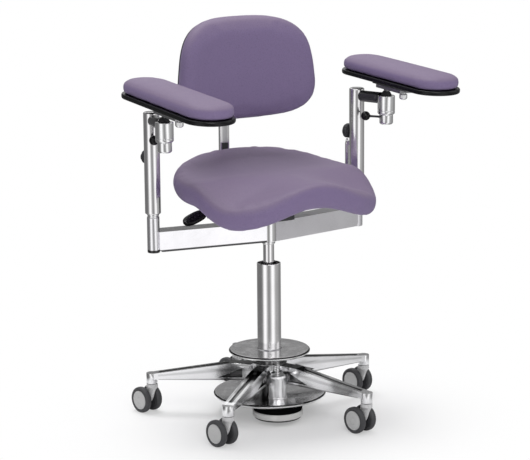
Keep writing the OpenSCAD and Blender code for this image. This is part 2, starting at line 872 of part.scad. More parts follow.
module clamp_lever(side) {
    turn = side == "right" ? 90 + right_lever_turn : 90 + left_lever_turn;
    color(polished) at_barrel(side) translate([0, 0, -barrel_h - cup_h]) {
        turned(cup_r, cup_h, cup_round, cup_round / 2);
        cylinder(r = cup_spigot_r, h = cup_h + cup_spigot_h);
    }
    color(black_part) at_barrel(side) translate([0, 0, -barrel_h - lever_drop]) rotate([0, 0, turn])
        rotate([0, 90 - lever_rise, 0]) {
            cylinder(r = lever_r, h = lever_len);
            translate([0, 0, lever_len]) sphere(r = lever_ball_r);
        }
}

module ball_dome(side) {
    color(black_part) at_barrel(side) {
        difference() {
            union() {
                cylinder(r1 = dome_base_r, r2 = dome_top_r, h = dome_h);
                translate([0, 0, -dome_spigot_h]) cylinder(r = dome_spigot_r, h = dome_spigot_h);
            }
            translate([-stud_slot_w / 2, -dome_base_r, cut_over / 2])
                cube([stud_slot_w, dome_base_r * 2, dome_h]);
        }
        translate([0, 0, pivot_up]) rotate([0, 90, 0])
            cylinder(r = pivot_pin_r, h = dome_top_r * 2, center = true);
    }
}

module pad_rail(side) {
    color(dull_steel) at_pad(side) difference() {
        union() {
            translate([0, 0, pivot_up]) rotate([0, 90, 0]) cylinder(r = stud_r, h = stud_w, center = true);
            translate([-stud_w / 2, -stud_r, pivot_up])
                cube([stud_w, stud_r * 2, rail_up - pivot_up + cut_over]);
            translate([-rail_w / 2, -rail_ahead, rail_up])
                cube([rail_w, rail_ahead + rail_behind, rail_t - running_gap]);
        }
        translate([0, 0, pivot_up]) rotate([0, 90, 0])
            cylinder(r = pivot_pin_r + running_gap, h = stud_w * 2, center = true);
        translate([0, -rail_knob_ahead, rail_up - cut_over])
            cylinder(r = rail_screw_r + running_gap, h = rail_t + cut_over * 2);
    }
}

module rail_knob(side) {
    color(polished) at_pad(side) translate([0, -rail_knob_ahead, 0]) {
        translate([0, 0, rail_up - rail_knob_h - free_gap])
            turned(rail_knob_r, rail_knob_h, cut_over, cut_over);
        translate([0, 0, rail_up - free_gap * 2]) cylinder(r = rail_screw_r, h = rail_t + free_gap);
    }
}

module pad_plate(side) {
    plate_z0 = rail_up + rail_t;
    color(black_part) at_pad(side) translate([0, -pad_ahead(side), plate_z0]) {
        translate([0, 0, slide_block_t]) hull() {
            translate([0, 0, plate_round])
                linear_extrude(height = plate_t - plate_round * 2) stadium(pad_len, pad_w);
            linear_extrude(height = plate_t)
                stadium(pad_len - plate_round * 2, pad_w - plate_round * 2);
        }
        translate([-slide_block_w / 2, pad_ahead(side) - rail_ahead / 2 - plate_lip_len / 2, 0])
            cube([slide_block_w, plate_lip_len, slide_block_t + plate_round]);
        for (x = [-1, 1])
            translate([x * (rail_w / 2 + free_gap + plate_lip_w / 2) - plate_lip_w / 2,
                       pad_ahead(side) - rail_ahead / 2 - plate_lip_len / 2, -plate_lip_h])
                cube([plate_lip_w, plate_lip_len, plate_lip_h + plate_round]);
    }
}

// Rings of an arm pad's cushion: how far each is drawn in from the outline, and its share of the height
pad_ring_shares = [[0.10, 0], [0.02, 0.14], [0, 0.4], [0.03, 0.62],
                   [0.12, 0.78], [0.27, 0.87], [0.5, 0.95], [0.8, 1]];
pad_arc_points = 14;

function stadium_ring(half_len, half_w, inset, z) = [
    for (end = [0, 1]) for (i = [0:pad_arc_points])
        let (a = end * 180 + i * 180 / pad_arc_points, r = half_w - inset)
            [r * cos(a), (1 - end * 2) * (half_len - half_w) + r * sin(a), z]];

module pad_cushion(side) {
    half_w = pad_w / 2 - cushion_inset;
    half_len = pad_len / 2 - cushion_inset;
    z0 = rail_up + rail_t + slide_block_t + plate_t + free_gap;
    color(vinyl) at_pad(side) translate([0, -pad_ahead(side), 0])
        loft([for (s = pad_ring_shares) stadium_ring(half_len, half_w, s[0] * half_w, z0 + s[1] * pad_h)],
             [0, 0, z0], [0, 0, z0 + pad_h]);
}

// Seat

module tilt_housing() {
    color(black_part) {
        difference() {
            union() {
                translate([0, (housing_back - housing_front) / 2, bar_top_z])
                    linear_extrude(height = housing_h)
                        rounded_rect(housing_w, housing_front + housing_back, housing_round);
                for (x = [-1, 1])
                    translate([x * (housing_w / 2 - tilt_ear_w / 2), tilt_y, 0]) {
                        translate([0, 0, tilt_z]) rotate([0, 90, 0])
                            cylinder(r = tilt_ear_r, h = tilt_ear_w, center = true);
                        translate([-tilt_ear_w / 2, -tilt_ear_r, bar_top_z])
                            cube([tilt_ear_w, tilt_ear_r * 2, tilt_up]);
                    }
            }
            translate([-housing_w / 2 - cut_over, lever_y, lever_z]) rotate([0, 90, 0])
                cylinder(r = lever_shaft_r + running_gap, h = lever_shaft_in + cut_over);
            translate([0, tilt_y, tilt_z]) rotate([0, 90, 0])
                cylinder(r = tilt_ear_r + tilt_ear_gap, h = housing_w - tilt_ear_w * 2, center = true);
            translate([0, tilt_y, tilt_z]) rotate([0, 90, 0])
                cylinder(r = tilt_pin_r + running_gap, h = housing_w + cut_over, center = true);
        }
    }
}

module tilt_lever() {
    color(black_part) {
        translate([-housing_w / 2 + lever_shaft_in - free_gap, lever_y, lever_z]) rotate([0, -90, 0])
            cylinder(r = lever_shaft_r, h = lever_out - paddle_len / 2 - housing_w / 2 + lever_shaft_in);
        translate([-lever_out + paddle_len / 2, lever_y, lever_z]) rotate([0, -paddle_droop, 0])
            rotate([paddle_roll, 0, 0]) hull() for (x = [-1, 1])
                translate([x * (paddle_len - paddle_w) / 2, 0, -paddle_t / 2])
                    cylinder(r = paddle_w / 2, h = paddle_t);
    }
}

module seat_plate() {
    ear_span = housing_w - tilt_ear_w * 2 - tilt_ear_gap * 2;
    color(dull_steel) {
        translate([0, plate_y, plate_z])
            linear_extrude(height = plate_sheet_t) rounded_rect(plate_w, plate_d, housing_round);
        translate([0, tilt_y, tilt_z]) rotate([0, 90, 0]) {
            cylinder(r = tilt_ear_r, h = ear_span, center = true);
            cylinder(r = tilt_pin_r, h = housing_w, center = true);
        }
        translate([-ear_span / 2, tilt_y - tilt_pin_r, tilt_z])
            cube([ear_span, tilt_pin_r * 2, plate_z - tilt_z]);
    }
}

module seat_board() {
    color(black_part) translate([0, board_y, plate_z + plate_sheet_t])
        linear_extrude(height = board_t) rounded_rect(board_w, board_d, board_round);
}

// The seat's outline is a superellipse, squarer in front than behind
seat_mid_y_share = 0.5;
seat_front_power = 2.6;
seat_back_power = 2.45;
seat_side_fall_share = 0.006;
seat_hump_width_share = 0.79;
seat_lobe_length_share = 0.64;

function seat_mid_y() = seat_front_y + (seat_back_y - seat_front_y) * seat_mid_y_share;
function superellipse(a, p, w, d) =
    let (c = cos(a), s = sin(a), r = 1 / pow(pow(abs(c), p) + pow(abs(s), p), 1 / p)) [w * c * r, d * s * r];
function seat_outline(a) =
    superellipse(a, sin(a) < 0 ? seat_front_power : seat_back_power, seat_w / 2, (seat_back_y - seat_front_y) / 2);
function ease(t) = let (c = min(1, max(0, t))) c * c * (3 - 2 * c);

// Height of the saddle's top over its middle, for a point counted from the outline's middle
function seat_shape(x, y) =
    let (u = abs(x) / (seat_w / 2), v = y / ((seat_back_y - seat_front_y) / 2))
    back_rise * pow(max(0, v), 2) - seat_w * seat_side_fall_share * u * u
    - lobe_drop * ease(-v / seat_lobe_length_share) * ease(u / seat_hump_width_share);

// Rings of the seat cushion: share of the outline, and drop below the crease as a share of the edge
seat_top_shares = [0.25, 0.5, 0.7, 0.84, 0.93];
seat_side_shares = [[0.975, 0.1], [0.995, 0.28], [1, 0.5], [0.985, 0.76], [0.955, 0.93], [0.91, 1]];
seat_flat_share = 0.62;

module seat_cushion() {
    flat_z = plate_z + plate_sheet_t + board_t + free_gap;
    angles = [for (i = [0:seat_ring_points - 1]) i * 360 / seat_ring_points];
    tops = [for (s = seat_top_shares) [for (a = angles)
        let (p = seat_outline(a) * s) [p[0], p[1], seat_z + seat_shape(p[0], p[1])]]];
    walls = [for (s = seat_side_shares) [for (a = angles)
        let (p = seat_outline(a), e = seat_outline(a) * seat_top_shares[4])
            [p[0] * s[0], p[1] * s[0], seat_z + seat_shape(e[0], e[1]) - s[1] * seat_edge_h]]];
    flats = [[for (a = angles) let (p = seat_outline(a) * seat_flat_share) [p[0], p[1], flat_z]]];
    rings = [for (r = concat(tops, walls, flats))
        [for (k = [0:seat_ring_points - 1]) r[(seat_ring_points - k) % seat_ring_points]]];
    color(vinyl) translate([0, seat_mid_y(), 0]) loft(rings, [0, 0, seat_z], [0, 0, flat_z]);
}

// Backrest

module back_arm() {
    rise_top = sleeve_low_z;
    color(dull_steel) translate([-bar_arm_w / 2, 0, 0]) rotate([90, 0, 90])
      linear_extrude(height = bar_arm_w) {
        translate([back_arm_start_y, back_arm_low_z])
            square([stem_y - back_arm_start_y - back_bend_r, bar_arm_t]);
        translate([stem_y - back_bend_r, back_arm_low_z + back_bend_r]) intersection() {
            difference() {
                circle(back_bend_r);
                circle(back_bend_r - bar_arm_t);
            }
            translate([0, -back_bend_r]) square([back_bend_r, back_bend_r]);
        }
        translate([stem_y - bar_arm_t, back_arm_low_z + back_bend_r])
            square([bar_arm_t, rise_top - back_arm_low_z - back_bend_r + board_t]);
    }
}

module back_sleeve() {
    color(black_part) translate([0, stem_y, sleeve_low_z]) difference() {
        translate([-stem_w / 2 - sleeve_side, 0, 0])
            cube([stem_w + sleeve_side * 2, back_stem_t + sleeve_wall * 2, sleeve_top_z - sleeve_low_z]);
        translate([-stem_w / 2 - running_gap, sleeve_wall - running_gap, -cut_over])
            cube([stem_w + running_gap * 2, back_stem_t + running_gap * 2, sleeve_top_z - sleeve_low_z + cut_over * 2]);
    }
    color(black_part) translate([-tongue_w / 2, stem_y + sleeve_wall - free_gap - tongue_t, sleeve_low_z])
        cube([tongue_w, tongue_t, tongue_top_z - sleeve_low_z]);
}

module back_stem() {
    color(polished) {
        translate([-stem_w / 2, stem_y + sleeve_wall, stem_low_z])
            cube([stem_w, back_stem_t, back_tilt_z - stem_low_z]);
        translate([0, back_tilt_y, back_tilt_z]) rotate([0, 90, 0]) {
            cylinder(r = back_pin_r, h = stem_w + back_ear_w * 2, center = true);
            cylinder(r = back_ear_r, h = stem_w, center = true);
        }
        translate([-stem_w / 2, back_tilt_y, back_tilt_z - back_ear_r])
            cube([stem_w, stem_y + sleeve_wall + back_stem_t - back_tilt_y, back_ear_r * 2]);
    }
}

// The backrest's outline is a superellipse that narrows upwards, and its face bends forward at the wings
back_power = 3.3;
back_narrow_share = 0.09;

function back_outline(a) =
    let (p = superellipse(a, back_power, back_w / 2, (back_high_z - back_low_z) / 2))
    [p[0] * (1 - back_narrow_share * p[1] / ((back_high_z - back_low_z) / 2)), p[1]];
function back_bend(x) = -back_wing * pow(abs(x) / (back_w / 2), 2);

// Rings of the back cushion from its back to its front: share of the outline, and share of the thickness
back_ring_shares = [[0.3, 0], [0.6, 0], [0.88, 0], [0.96, 0.08], [1, 0.38],
                    [0.995, 0.6], [0.965, 0.8], [0.9, 0.92], [0.75, 0.98], [0.45, 1]];

module back_panel(shares, y0, thickness, crossed = false) {
    mid_z = (back_low_z + back_high_z) / 2;
    loft([for (s = shares) [for (i = [0:back_ring_points - 1])
            let (p = back_outline(i * 360 / back_ring_points) * s[0])
                [p[0], y0 - thickness * s[1] + back_bend(p[0]), mid_z + p[1]]]],
         [0, y0, mid_z], [0, y0 - thickness, mid_z], crossed);
}

module back_cushion() {
    color(vinyl) back_panel(back_ring_shares, back_front_y + back_cushion_t, back_cushion_t);
}

// The shell's rings: its face has the rings of the cushion's back, which it follows
back_shell_ring_shares = [[0.3, 0], [0.6, 0], [0.86, 0], [0.93, 0.4],
                          [0.94, 1], [0.88, 1], [0.6, 1], [0.3, 1]];

module back_shell() {
    front = back_front_y + back_cushion_t + free_gap;
    color(black_part) {
        back_panel(back_shell_ring_shares, front + back_shell_t, back_shell_t, crossed = true);
        difference() {
            for (x = [-1, 1])
                translate([x * (stem_w / 2 + free_gap + back_ear_w / 2), 0, 0]) {
                    translate([0, back_tilt_y, back_tilt_z]) rotate([0, 90, 0])
                        cylinder(r = back_ear_r, h = back_ear_w, center = true);
                    translate([-back_ear_w / 2, front + back_shell_t - cut_over, back_tilt_z - back_ear_r])
                        cube([back_ear_w, back_tilt_y - front - back_shell_t + cut_over, back_ear_r * 2]);
                }
            translate([0, back_tilt_y, back_tilt_z]) rotate([0, 90, 0])
                cylinder(r = back_pin_r + running_gap, h = stem_w * 3, center = true);
        }
    }
}

// Puts a piece with the middle of the whole over the origin
module placed() {
    translate([-middle_x, -middle_y, 0]) children();
}

placed() star_base();
placed() guide_column();
placed() column_bush();
placed() piston_rod();
placed() upper_disc();
placed() cover_tube();
placed() disc_pin();
placed() disc_spring();
placed() lower_disc();
placed() brake_cylinder();
placed() brake_foot();
placed() brake_ring();
placed() brake_sole();
for (i = [0:arm_count - 1]) {
    placed() castor_fork(i);
    placed() castor_wheels(i);
}
placed() lift_tube();
placed() lift_end_cap();
placed() carrier_hub();
placed() right_crossbar();
placed() left_crossbar();
placed() tilt_housing();
placed() tilt_lever();
placed() seat_plate();
placed() seat_board();
placed() seat_cushion();
placed() back_arm();
placed() back_sleeve();
placed() back_stem();
placed() back_shell();
placed() back_cushion();
for (s = sides) {
    placed() inner_post(s);
    placed() post_tube(s);
    placed() lock_rod(s);
    placed() clamp_knob(s);
    placed() arm_barrel(s);
    placed() clamp_lever(s);
    placed() ball_dome(s);
    placed() pad_rail(s);
    placed() rail_knob(s);
    placed() pad_plate(s);
    placed() pad_cushion(s);
}
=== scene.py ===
"""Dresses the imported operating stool: upholstery, metal, moulded castors, light and camera."""

import logging
import math
from dataclasses import dataclass, field
from enum import Enum
from typing import Any, Callable, Sequence

import bmesh
import bpy
from mathutils import Matrix, Vector
from mathutils.kdtree import KDTree


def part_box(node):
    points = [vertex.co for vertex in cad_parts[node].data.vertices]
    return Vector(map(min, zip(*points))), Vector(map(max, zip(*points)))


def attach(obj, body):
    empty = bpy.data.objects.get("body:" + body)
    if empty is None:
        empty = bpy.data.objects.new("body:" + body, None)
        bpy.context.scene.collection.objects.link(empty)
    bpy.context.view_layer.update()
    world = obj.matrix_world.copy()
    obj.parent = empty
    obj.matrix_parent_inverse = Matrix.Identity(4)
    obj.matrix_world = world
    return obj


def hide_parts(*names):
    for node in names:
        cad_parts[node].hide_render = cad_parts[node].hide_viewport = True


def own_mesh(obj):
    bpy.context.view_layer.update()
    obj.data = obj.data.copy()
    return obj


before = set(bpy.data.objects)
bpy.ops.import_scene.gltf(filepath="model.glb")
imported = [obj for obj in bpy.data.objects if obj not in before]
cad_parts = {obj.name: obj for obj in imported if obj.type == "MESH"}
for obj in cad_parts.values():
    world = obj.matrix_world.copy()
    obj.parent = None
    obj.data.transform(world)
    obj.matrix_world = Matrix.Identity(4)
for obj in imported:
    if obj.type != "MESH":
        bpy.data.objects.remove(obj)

log = logging.getLogger("stool")
Point = tuple[float, float, float]
Colour = tuple[float, float, float]
Corners = Sequence[Sequence[float]]
Piece = bpy.types.Object
Inputs = dict[Any, Any]
MM = 0.001
WHITE = (1.0, 1.0, 1.0)
SIDES = (-1, 1)
CREASE = 32
TURNED_CREASE = 40
FREED_OVER = 0.02  # metres over which a cushion's cover comes free of its board
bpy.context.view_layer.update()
LOW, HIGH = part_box("cover_tube")
COLUMN = Matrix.Translation(((LOW[0] + HIGH[0]) / 2, (LOW[1] + HIGH[1]) / 2, 0))
ACROSS = Matrix(((1, 0, 0, 0), (0, 0, -1, 0), (0, 1, 0, 0), (0, 0, 0, 1)))  # an outline of X and Z
LENGTHWISE = Matrix(((0, 0, 1, 0), (1, 0, 0, 0), (0, 1, 0, 0), (0, 0, 0, 1)))  # an outline of Y and Z


class Side(Enum):
    """The seated user's side; right is -X, the picture's left."""

    RIGHT = -1
    LEFT = 1

    @property
    def word(self) -> str:
        """The side's name in node and body names."""
        return self.name.lower()


class Lay(Enum):
    """The way that a metal's fine lines run, in the piece's own axes."""

    ALONG_Z = (1.0, 1.0, 0.015)
    ALONG_X = (0.015, 1.0, 1.0)
    AROUND_Z = (0.02, 0.02, 1.0)
    NONE = (1.0, 1.0, 1.0)
    SPUN = (0.0, 0.0, 0.0)


# Shader maths


def operator(operation: str, last: bool = False) -> Callable[["Val", Any], "Val"]:
    """Makes one of Val's operators.

    Args:
        operation: The Math node's operation.
        last: Whether Val's own value comes last.

    Returns:
        The operator, which adds a Math node.
    """
    def method(own: "Val", other: Any) -> "Val":
        """The Math node's value."""
        pair = (other, own) if last else (own, other)
        return own.recipe.value("Math", {"operation": operation}, dict(enumerate(pair)))

    return method


class Val:
    """A socket's value in an expression: each operator adds a Math node."""

    def __init__(self, recipe: "Recipe", socket: Any) -> None:
        """Keeps the recipe and the output socket that holds the value."""
        self.recipe, self.socket = recipe, socket

    def math(self, operation: str, *others: Any) -> "Val":
        """One Math node with this value first."""
        return self.recipe.value("Math", {"operation": operation}, dict(enumerate((self, *others))))

    __add__ = __radd__ = operator("ADD")
    __sub__ = operator("SUBTRACT")
    __rsub__ = operator("SUBTRACT", last=True)
    __mul__ = __rmul__ = operator("MULTIPLY")
    __truediv__ = operator("DIVIDE")
    __pow__ = operator("POWER")

    def step(self, low: float, high: float) -> "Val":
        """A smooth rise from 0 at low to 1 at high."""
        sockets = {"Value": self, "From Min": low, "From Max": high}
        return self.recipe.value("MapRange", {"interpolation_type": "SMOOTHSTEP"}, sockets)


class Recipe:
    """The node tree of one material or of the world."""

    def __init__(self, owner: Any) -> None:
        """Takes over the node tree of a material or a world and empties it."""
        owner.use_nodes = True
        self.tree = owner.node_tree
        self.tree.nodes.clear()

    def node(self, kind: str, settings: Inputs | None = None, sockets: Inputs | None = None) -> Any:
        """Adds one node.

        Args:
            kind: The node's type without its first words.
            settings: Its properties, set first; "ramp" gives a ramp's stops.
            sockets: Its inputs by name or index, as values, colours, nodes or Val.

        Returns:
            The node.
        """
        made = self.tree.nodes.new("ShaderNode" + kind)
        for key, setting in (settings or {}).items():
            if key == "ramp":
                while len(made.color_ramp.elements) < len(setting):
                    made.color_ramp.elements.new(0.5)
                for stop, (place, shade) in zip(made.color_ramp.elements, setting):
                    stop.position, stop.color = place, (shade, shade, shade, 1)
            else:
                setattr(made, key, setting)
        for key, given in (sockets or {}).items():
            socket = made.inputs[key]
            if isinstance(given, Val):
                self.tree.links.new(given.socket, socket)
            elif hasattr(given, "outputs"):
                self.tree.links.new(given.outputs[0], socket)
            elif isinstance(given, tuple) and len(given) < len(getattr(socket, "default_value", ())):
                socket.default_value = (*given, 1)
            else:
                socket.default_value = given
        return made

    def value(self, kind: str, settings: Inputs | None = None, sockets: Inputs | None = None,
              output: Any = 0) -> Val:
        """Adds one node and takes one of its outputs, by name or index."""
        return Val(self, self.node(kind, settings, sockets).outputs[output])

    def place(self, stretch: Point = (1, 1, 1)) -> Val:
        """The piece's own coordinates, stretched along each axis."""
        own = self.value("TexCoord", output="Object")
        return own if stretch == (1, 1, 1) else self.value("Mapping", {}, {"Vector": own, "Scale": stretch})

    def parts(self, vector: Val) -> list[Val]:
        """A vector's X, Y and Z."""
        return [Val(self, output) for output in self.node("SeparateXYZ", sockets={0: vector}).outputs]

    def facing_up(self) -> Val:
        """How far the surface faces up, from -1 to 1."""
        return self.parts(self.value("NewGeometry", output="Normal"))[2]

    def radius(self) -> Val:
        """Distance from the piece's own Z axis."""
        x, y, _ = self.parts(self.place())
        return (x * x + y * y) ** 0.5

    def rays(self) -> tuple[Val, Val]:
        """Whether a ray comes from the camera, and whether a mirroring or clear surface sends it."""
        path, kinds = self.node("LightPath"), ("Camera", "Glossy", "Transmission")
        eye, glossy, clear = (Val(self, path.outputs[f"Is {kind} Ray"]) for kind in kinds)
        return eye, (glossy + clear).math("MINIMUM", 1.0)

    def noise(self, scale: float, detail: float = 2, at: Val | None = None, roughness: float = 0.5) -> Val:
        """Smooth random values from 0 to 1: waves to the metre, octaves, and how strong the fine ones are."""
        sockets = {"Vector": at or self.place(), "Scale": scale, "Detail": detail, "Roughness": roughness}
        return self.value("TexNoise", {}, sockets)

    def mix(self, low: Any, high: Any, share: Val) -> Val:
        """A blend of two colours: low at share 0, high at share 1."""
        return self.value("Mix", {"data_type": "RGBA"}, {"Factor": share, 6: low, 7: high}, 2)

    def bump(self, height: Val, depth: float, normal: Val | None = None) -> Val:
        """A bump that feeds Normal, over another one if given; its depth is in metres."""
        sockets = {"Height": height, "Distance": depth, "Strength": 1.0}
        return self.value("Bump", {}, {**sockets, "Normal": normal} if normal else sockets)

    def show(self, shader: Any, output: str = "OutputMaterial") -> None:
        """Links a shader to the tree's output."""
        self.tree.links.new(shader.outputs[0], self.node(output).inputs[0])

    def surface(self, **sockets: Any) -> None:
        """Adds the Principled shader, its inputs written with _ for a space, and the output."""
        self.show(self.node("BsdfPrincipled", sockets={k.replace("_", " "): v for k, v in sockets.items()}))


def shaded(colour: Colour, share: float, lift: float = 0.0) -> Colour:
    """A share of a colour, lifted by a little grey."""
    return tuple(min(1.0, c * share + lift) for c in colour)


@dataclass(frozen=True)
class Finish:
    """A named finish and the record's slot for pieces made in it. Subclasses fill the recipe."""

    name: str
    colour: Colour
    slot: str = ""

    def fill(self, recipe: Recipe) -> None:
        """Adds the finish's nodes to its material's tree."""
        raise NotImplementedError

    def material(self) -> bpy.types.Material:
        """The finish's material, made once.

        Returns:
            The material.
        """
        found = bpy.data.materials.get(self.name)
        if found:
            return found
        made = bpy.data.materials.new(self.name)
        self.fill(Recipe(made))
        made.diffuse_color = (*self.colour, 1)
        return made


@dataclass(frozen=True)
class Metal(Finish):
    """Bare metal with fine lines, faint stains and a slightly uneven polish."""

    roughness: float = 0.1
    spread: float = 0.06
    lay: Lay = Lay.NONE
    lines: float = 2600
    depth: float = 0.00001
    stained: float = 0.868
    wander: float = 0.0006

    def fill(self, recipe: Recipe) -> None:
        """Adds the finish's nodes.

        Args:
            recipe: The material's tree.
        """
        if self.lay is Lay.SPUN:
            at = recipe.value("CombineXYZ", sockets={0: recipe.radius(), 1: recipe.noise(3, 0) * self.wander})
        else:
            at = recipe.place(self.lay.value)
        lines = recipe.noise(self.lines, 3, at)
        stains = (lines * 0.45 + recipe.noise(14, 3) * 0.55).step(0.25, 0.6)
        smudge = recipe.noise(55, 4).step(0.45, 0.75)
        bare = recipe.mix(shaded(self.colour, self.stained), self.colour, stains)
        recipe.surface(
            Base_Color=self.tint(recipe, bare), Metallic=1.0, Normal=recipe.bump(lines, self.depth),
            Roughness=lines * self.spread + smudge * (self.spread * 0.5) + (self.roughness - self.spread / 2))

    def tint(self, recipe: Recipe, colour: Val) -> Val:
        """The bare metal's colour, with any painted shade that a kind of metal adds; plain metal keeps it."""
        return colour


@dataclass(frozen=True)
class Bar(Metal):
    """A square bar's metal with painted shade: its top is darkened, a painted reflection of the dark seat
    above, and a dark line of painted shade runs along its lower edge.
    """

    # Painted shade: the top's share of the colour, then the dark line's height, width and share.
    shade: float = 0.32
    line_z: float = 0.404
    line: float = 0.0052
    shade_line_share: float = 0.07

    def tint(self, recipe: Recipe, colour: Val) -> Val:
        """Paints shade on the bar's top and along its lower edge.

        Args:
            recipe: The material's tree.
            colour: The bare metal's colour.

        Returns:
            The colour with its painted shade.
        """
        # Painted shade: upward faces darken, and so does a band up from the bar's lower edge.
        up = recipe.facing_up().step(0.4, 0.9)
        over = recipe.parts(recipe.place())[2].step(self.line_z + self.line * 0.7, self.line_z + self.line)
        top_shaded = recipe.mix(colour, shaded(self.colour, self.shade), up)
        return recipe.mix(shaded(self.colour, self.shade_line_share), top_shaded, over)


@dataclass(frozen=True)
class Spun(Metal):
    """A spun disc's metal with painted shade and reflection: its rounded edge and its collar are painted
    darker than its top.
    """

    # Share of the colour for the painted shade and reflection on faces that don't face up.
    edge: float = 0.06

    def tint(self, recipe: Recipe, colour: Val) -> Val:
        """Paints shade on what doesn't face straight up."""
        return recipe.mix(shaded(self.colour, self.edge), colour, recipe.facing_up().step(0.82, 0.97))


@dataclass(frozen=True)
class Casting(Finish):
    """A polished star base whose colour carries painted reflections and shade: bright rims, dark streaks
    along the arms, darker tops, groove, recess and lower edges, and a hub darkened as painted shade.
    """

    roughness: float = 0.13
    arms: int = 5
    first: float = 3.0
    low_z: float = 0.082
    root_h: float = 0.0395
    tip_h: float = 0.0133
    peak_r: float = 0.085
    tip_r: float = 0.27
    # Share of the colour where the painted shade and reflections are darkest.
    dark: float = 0.09

    def fill(self, recipe: Recipe) -> None:
        """Adds the finish's nodes.

        Args:
            recipe: The material's tree.
        """
        sockets = {0: recipe.place(), 1: tuple(COLUMN.translation)}
        x, y, z = recipe.parts(recipe.value("VectorMath", {"operation": "SUBTRACT"}, sockets))
        reach = (x * x + y * y) ** 0.5
        sector = math.tau / self.arms
        turn = (y.math("ARCTAN2", x) - math.radians(self.first)).math("WRAP", sector / 2, -sector / 2)
        across = (turn.math("SINE") * reach).math("ABSOLUTE")
        fall = ((reach - self.peak_r) / (self.tip_r - self.peak_r)).math("MAXIMUM", 0.0)
        level = (z - self.low_z) / (fall * (self.tip_h - self.root_h) + self.root_h)
        flow = recipe.value("CombineXYZ", sockets={0: reach * 7, 1: turn * reach * 150, 2: z * 90})
        # Painted reflections: these streaks darken the tops and sides along the arms; they also vary the
        # roughness.
        streaks = recipe.noise(1.0, 3, flow)
        up = recipe.facing_up().step(0.45, 0.85)
        # Painted shade: the hub, the groove along each arm's top and all top faces are darkened.
        hub_shade = 1 - reach.step(0.1, 0.155)
        groove = 1 - across.step(0.0035, 0.0062)
        top = groove * 0.55 + streaks.step(0.36, 0.62) * 0.45 + hub_shade * 0.9 + 0.3
        # Painted shade and reflection on the sides: a dark line at the bottom, a band part way up and the
        # recess; the castor bosses stay bright.
        boss = reach.step(self.tip_r - 0.017, self.tip_r - 0.013)
        low_edge_shade = (1 - level.step(0.03, 0.12)) * (1 - boss)
        side_reflection_band = level.step(0.46, 0.6) - level.step(0.66, 0.86)
        recess = 1 - across.step(0.0107, 0.0113)
        side = low_edge_shade * 0.75 + side_reflection_band * 0.3 + streaks.step(0.52, 0.74) * 0.3 + hub_shade * 0.1 + recess * 0.75
        # All of it darkens the colour as painted shade and reflection.
        dark = (up * top.math("MINIMUM", 1.0) + (1 - up) * side.math("MINIMUM", 1.0)) * (1 - boss * 0.85)
        grit = recipe.noise(420, 3)
        recipe.surface(
            Base_Color=recipe.mix(self.colour, shaded(self.colour, self.dark), dark), Metallic=1.0,
            Roughness=grit * 0.08 + streaks * 0.06 + (self.roughness - 0.06),
            Normal=recipe.bump(recipe.noise(24, 1), 0.0005, recipe.bump(grit, 0.000006)))


@dataclass(frozen=True)
class Vinyl(Finish):
    """Upholstery vinyl: fine pebbled grain, soft sheen, and upward faces painted greyer, a painted sheen of
    the light from above that a broad noise varies.
    """

    # The colour of upward faces: painted sheen of the light from above.
    top: Colour = (0.3, 0.27, 0.33)
    grain: float = 620
    depth: float = 0.00018
    wobble: float = 0.0011

    def fill(self, recipe: Recipe) -> None:
        """Adds the finish's nodes.

        Args:
            recipe: The material's tree.
        """
        drift = recipe.value("TexNoise", {}, {"Vector": recipe.place(), "Scale": 240.0, "Detail": 1.0}, 1)
        sockets = {0: drift, 1: (self.wobble, self.wobble, self.wobble), 2: recipe.place()}
        at = recipe.value("VectorMath", {"operation": "MULTIPLY_ADD"}, sockets)
        pebbles = recipe.value("TexVoronoi", {"feature": "SMOOTH_F1"}, {"Vector": at, "Scale": self.grain})
        broad = recipe.noise(7, 3)
        # Painted sheen: upward faces take the top colour, varied at random by a broad noise.
        worn = recipe.facing_up().step(0.15, 0.85) * (broad * 0.3 + 0.8)
        body = recipe.mix(self.colour, self.top, worn)
        deep = recipe.mix(body, shaded(self.colour, 0.62), (pebbles * 1.5).step(0.5, 1.1) * 0.35)
        mottled = recipe.mix(deep, shaded(self.top, 1.18), recipe.noise(90, 4).step(0.5, 0.8) * 0.12)
        height = (1 - pebbles * 1.2) * 0.85 + recipe.noise(2100, 2) * 0.15
        recipe.surface(
            Base_Color=mottled, Roughness=broad * 0.1 + recipe.noise(45, 2) * 0.08 + 0.43,
            Normal=recipe.bump(height, self.depth), Sheen_Weight=0.03, Sheen_Roughness=0.5,
            Specular_IOR_Level=0.16)


@dataclass(frozen=True)
class Moulded(Finish):
    """Moulded plastic or rubber with a fine spark-eroded grain and handling marks."""

    roughness: float = 0.5
    grain: float = 1500
    depth: float = 0.00006
    dust: float = 0.12
    shine: float = 0.4

    def fill(self, recipe: Recipe) -> None:
        """Adds the finish's nodes.

        Args:
            recipe: The material's tree.
        """
        grain = recipe.noise(self.grain, 3)
        rubbed = recipe.noise(38, 4).step(0.5, 0.78)
        pale = shaded(self.colour, 1 + self.dust * 2, self.dust * 0.03)
        tint = recipe.mix(self.colour, pale, rubbed * 0.6 + recipe.noise(9, 2) * 0.4)
        recipe.surface(
            Base_Color=recipe.mix(tint, shaded(self.colour, 0.8), grain.step(0.35, 0.7) * 0.35),
            Roughness=rubbed * -0.1 + recipe.noise(120, 2) * 0.08 + self.roughness,
            Normal=recipe.bump(grain, self.depth), Specular_IOR_Level=self.shine)


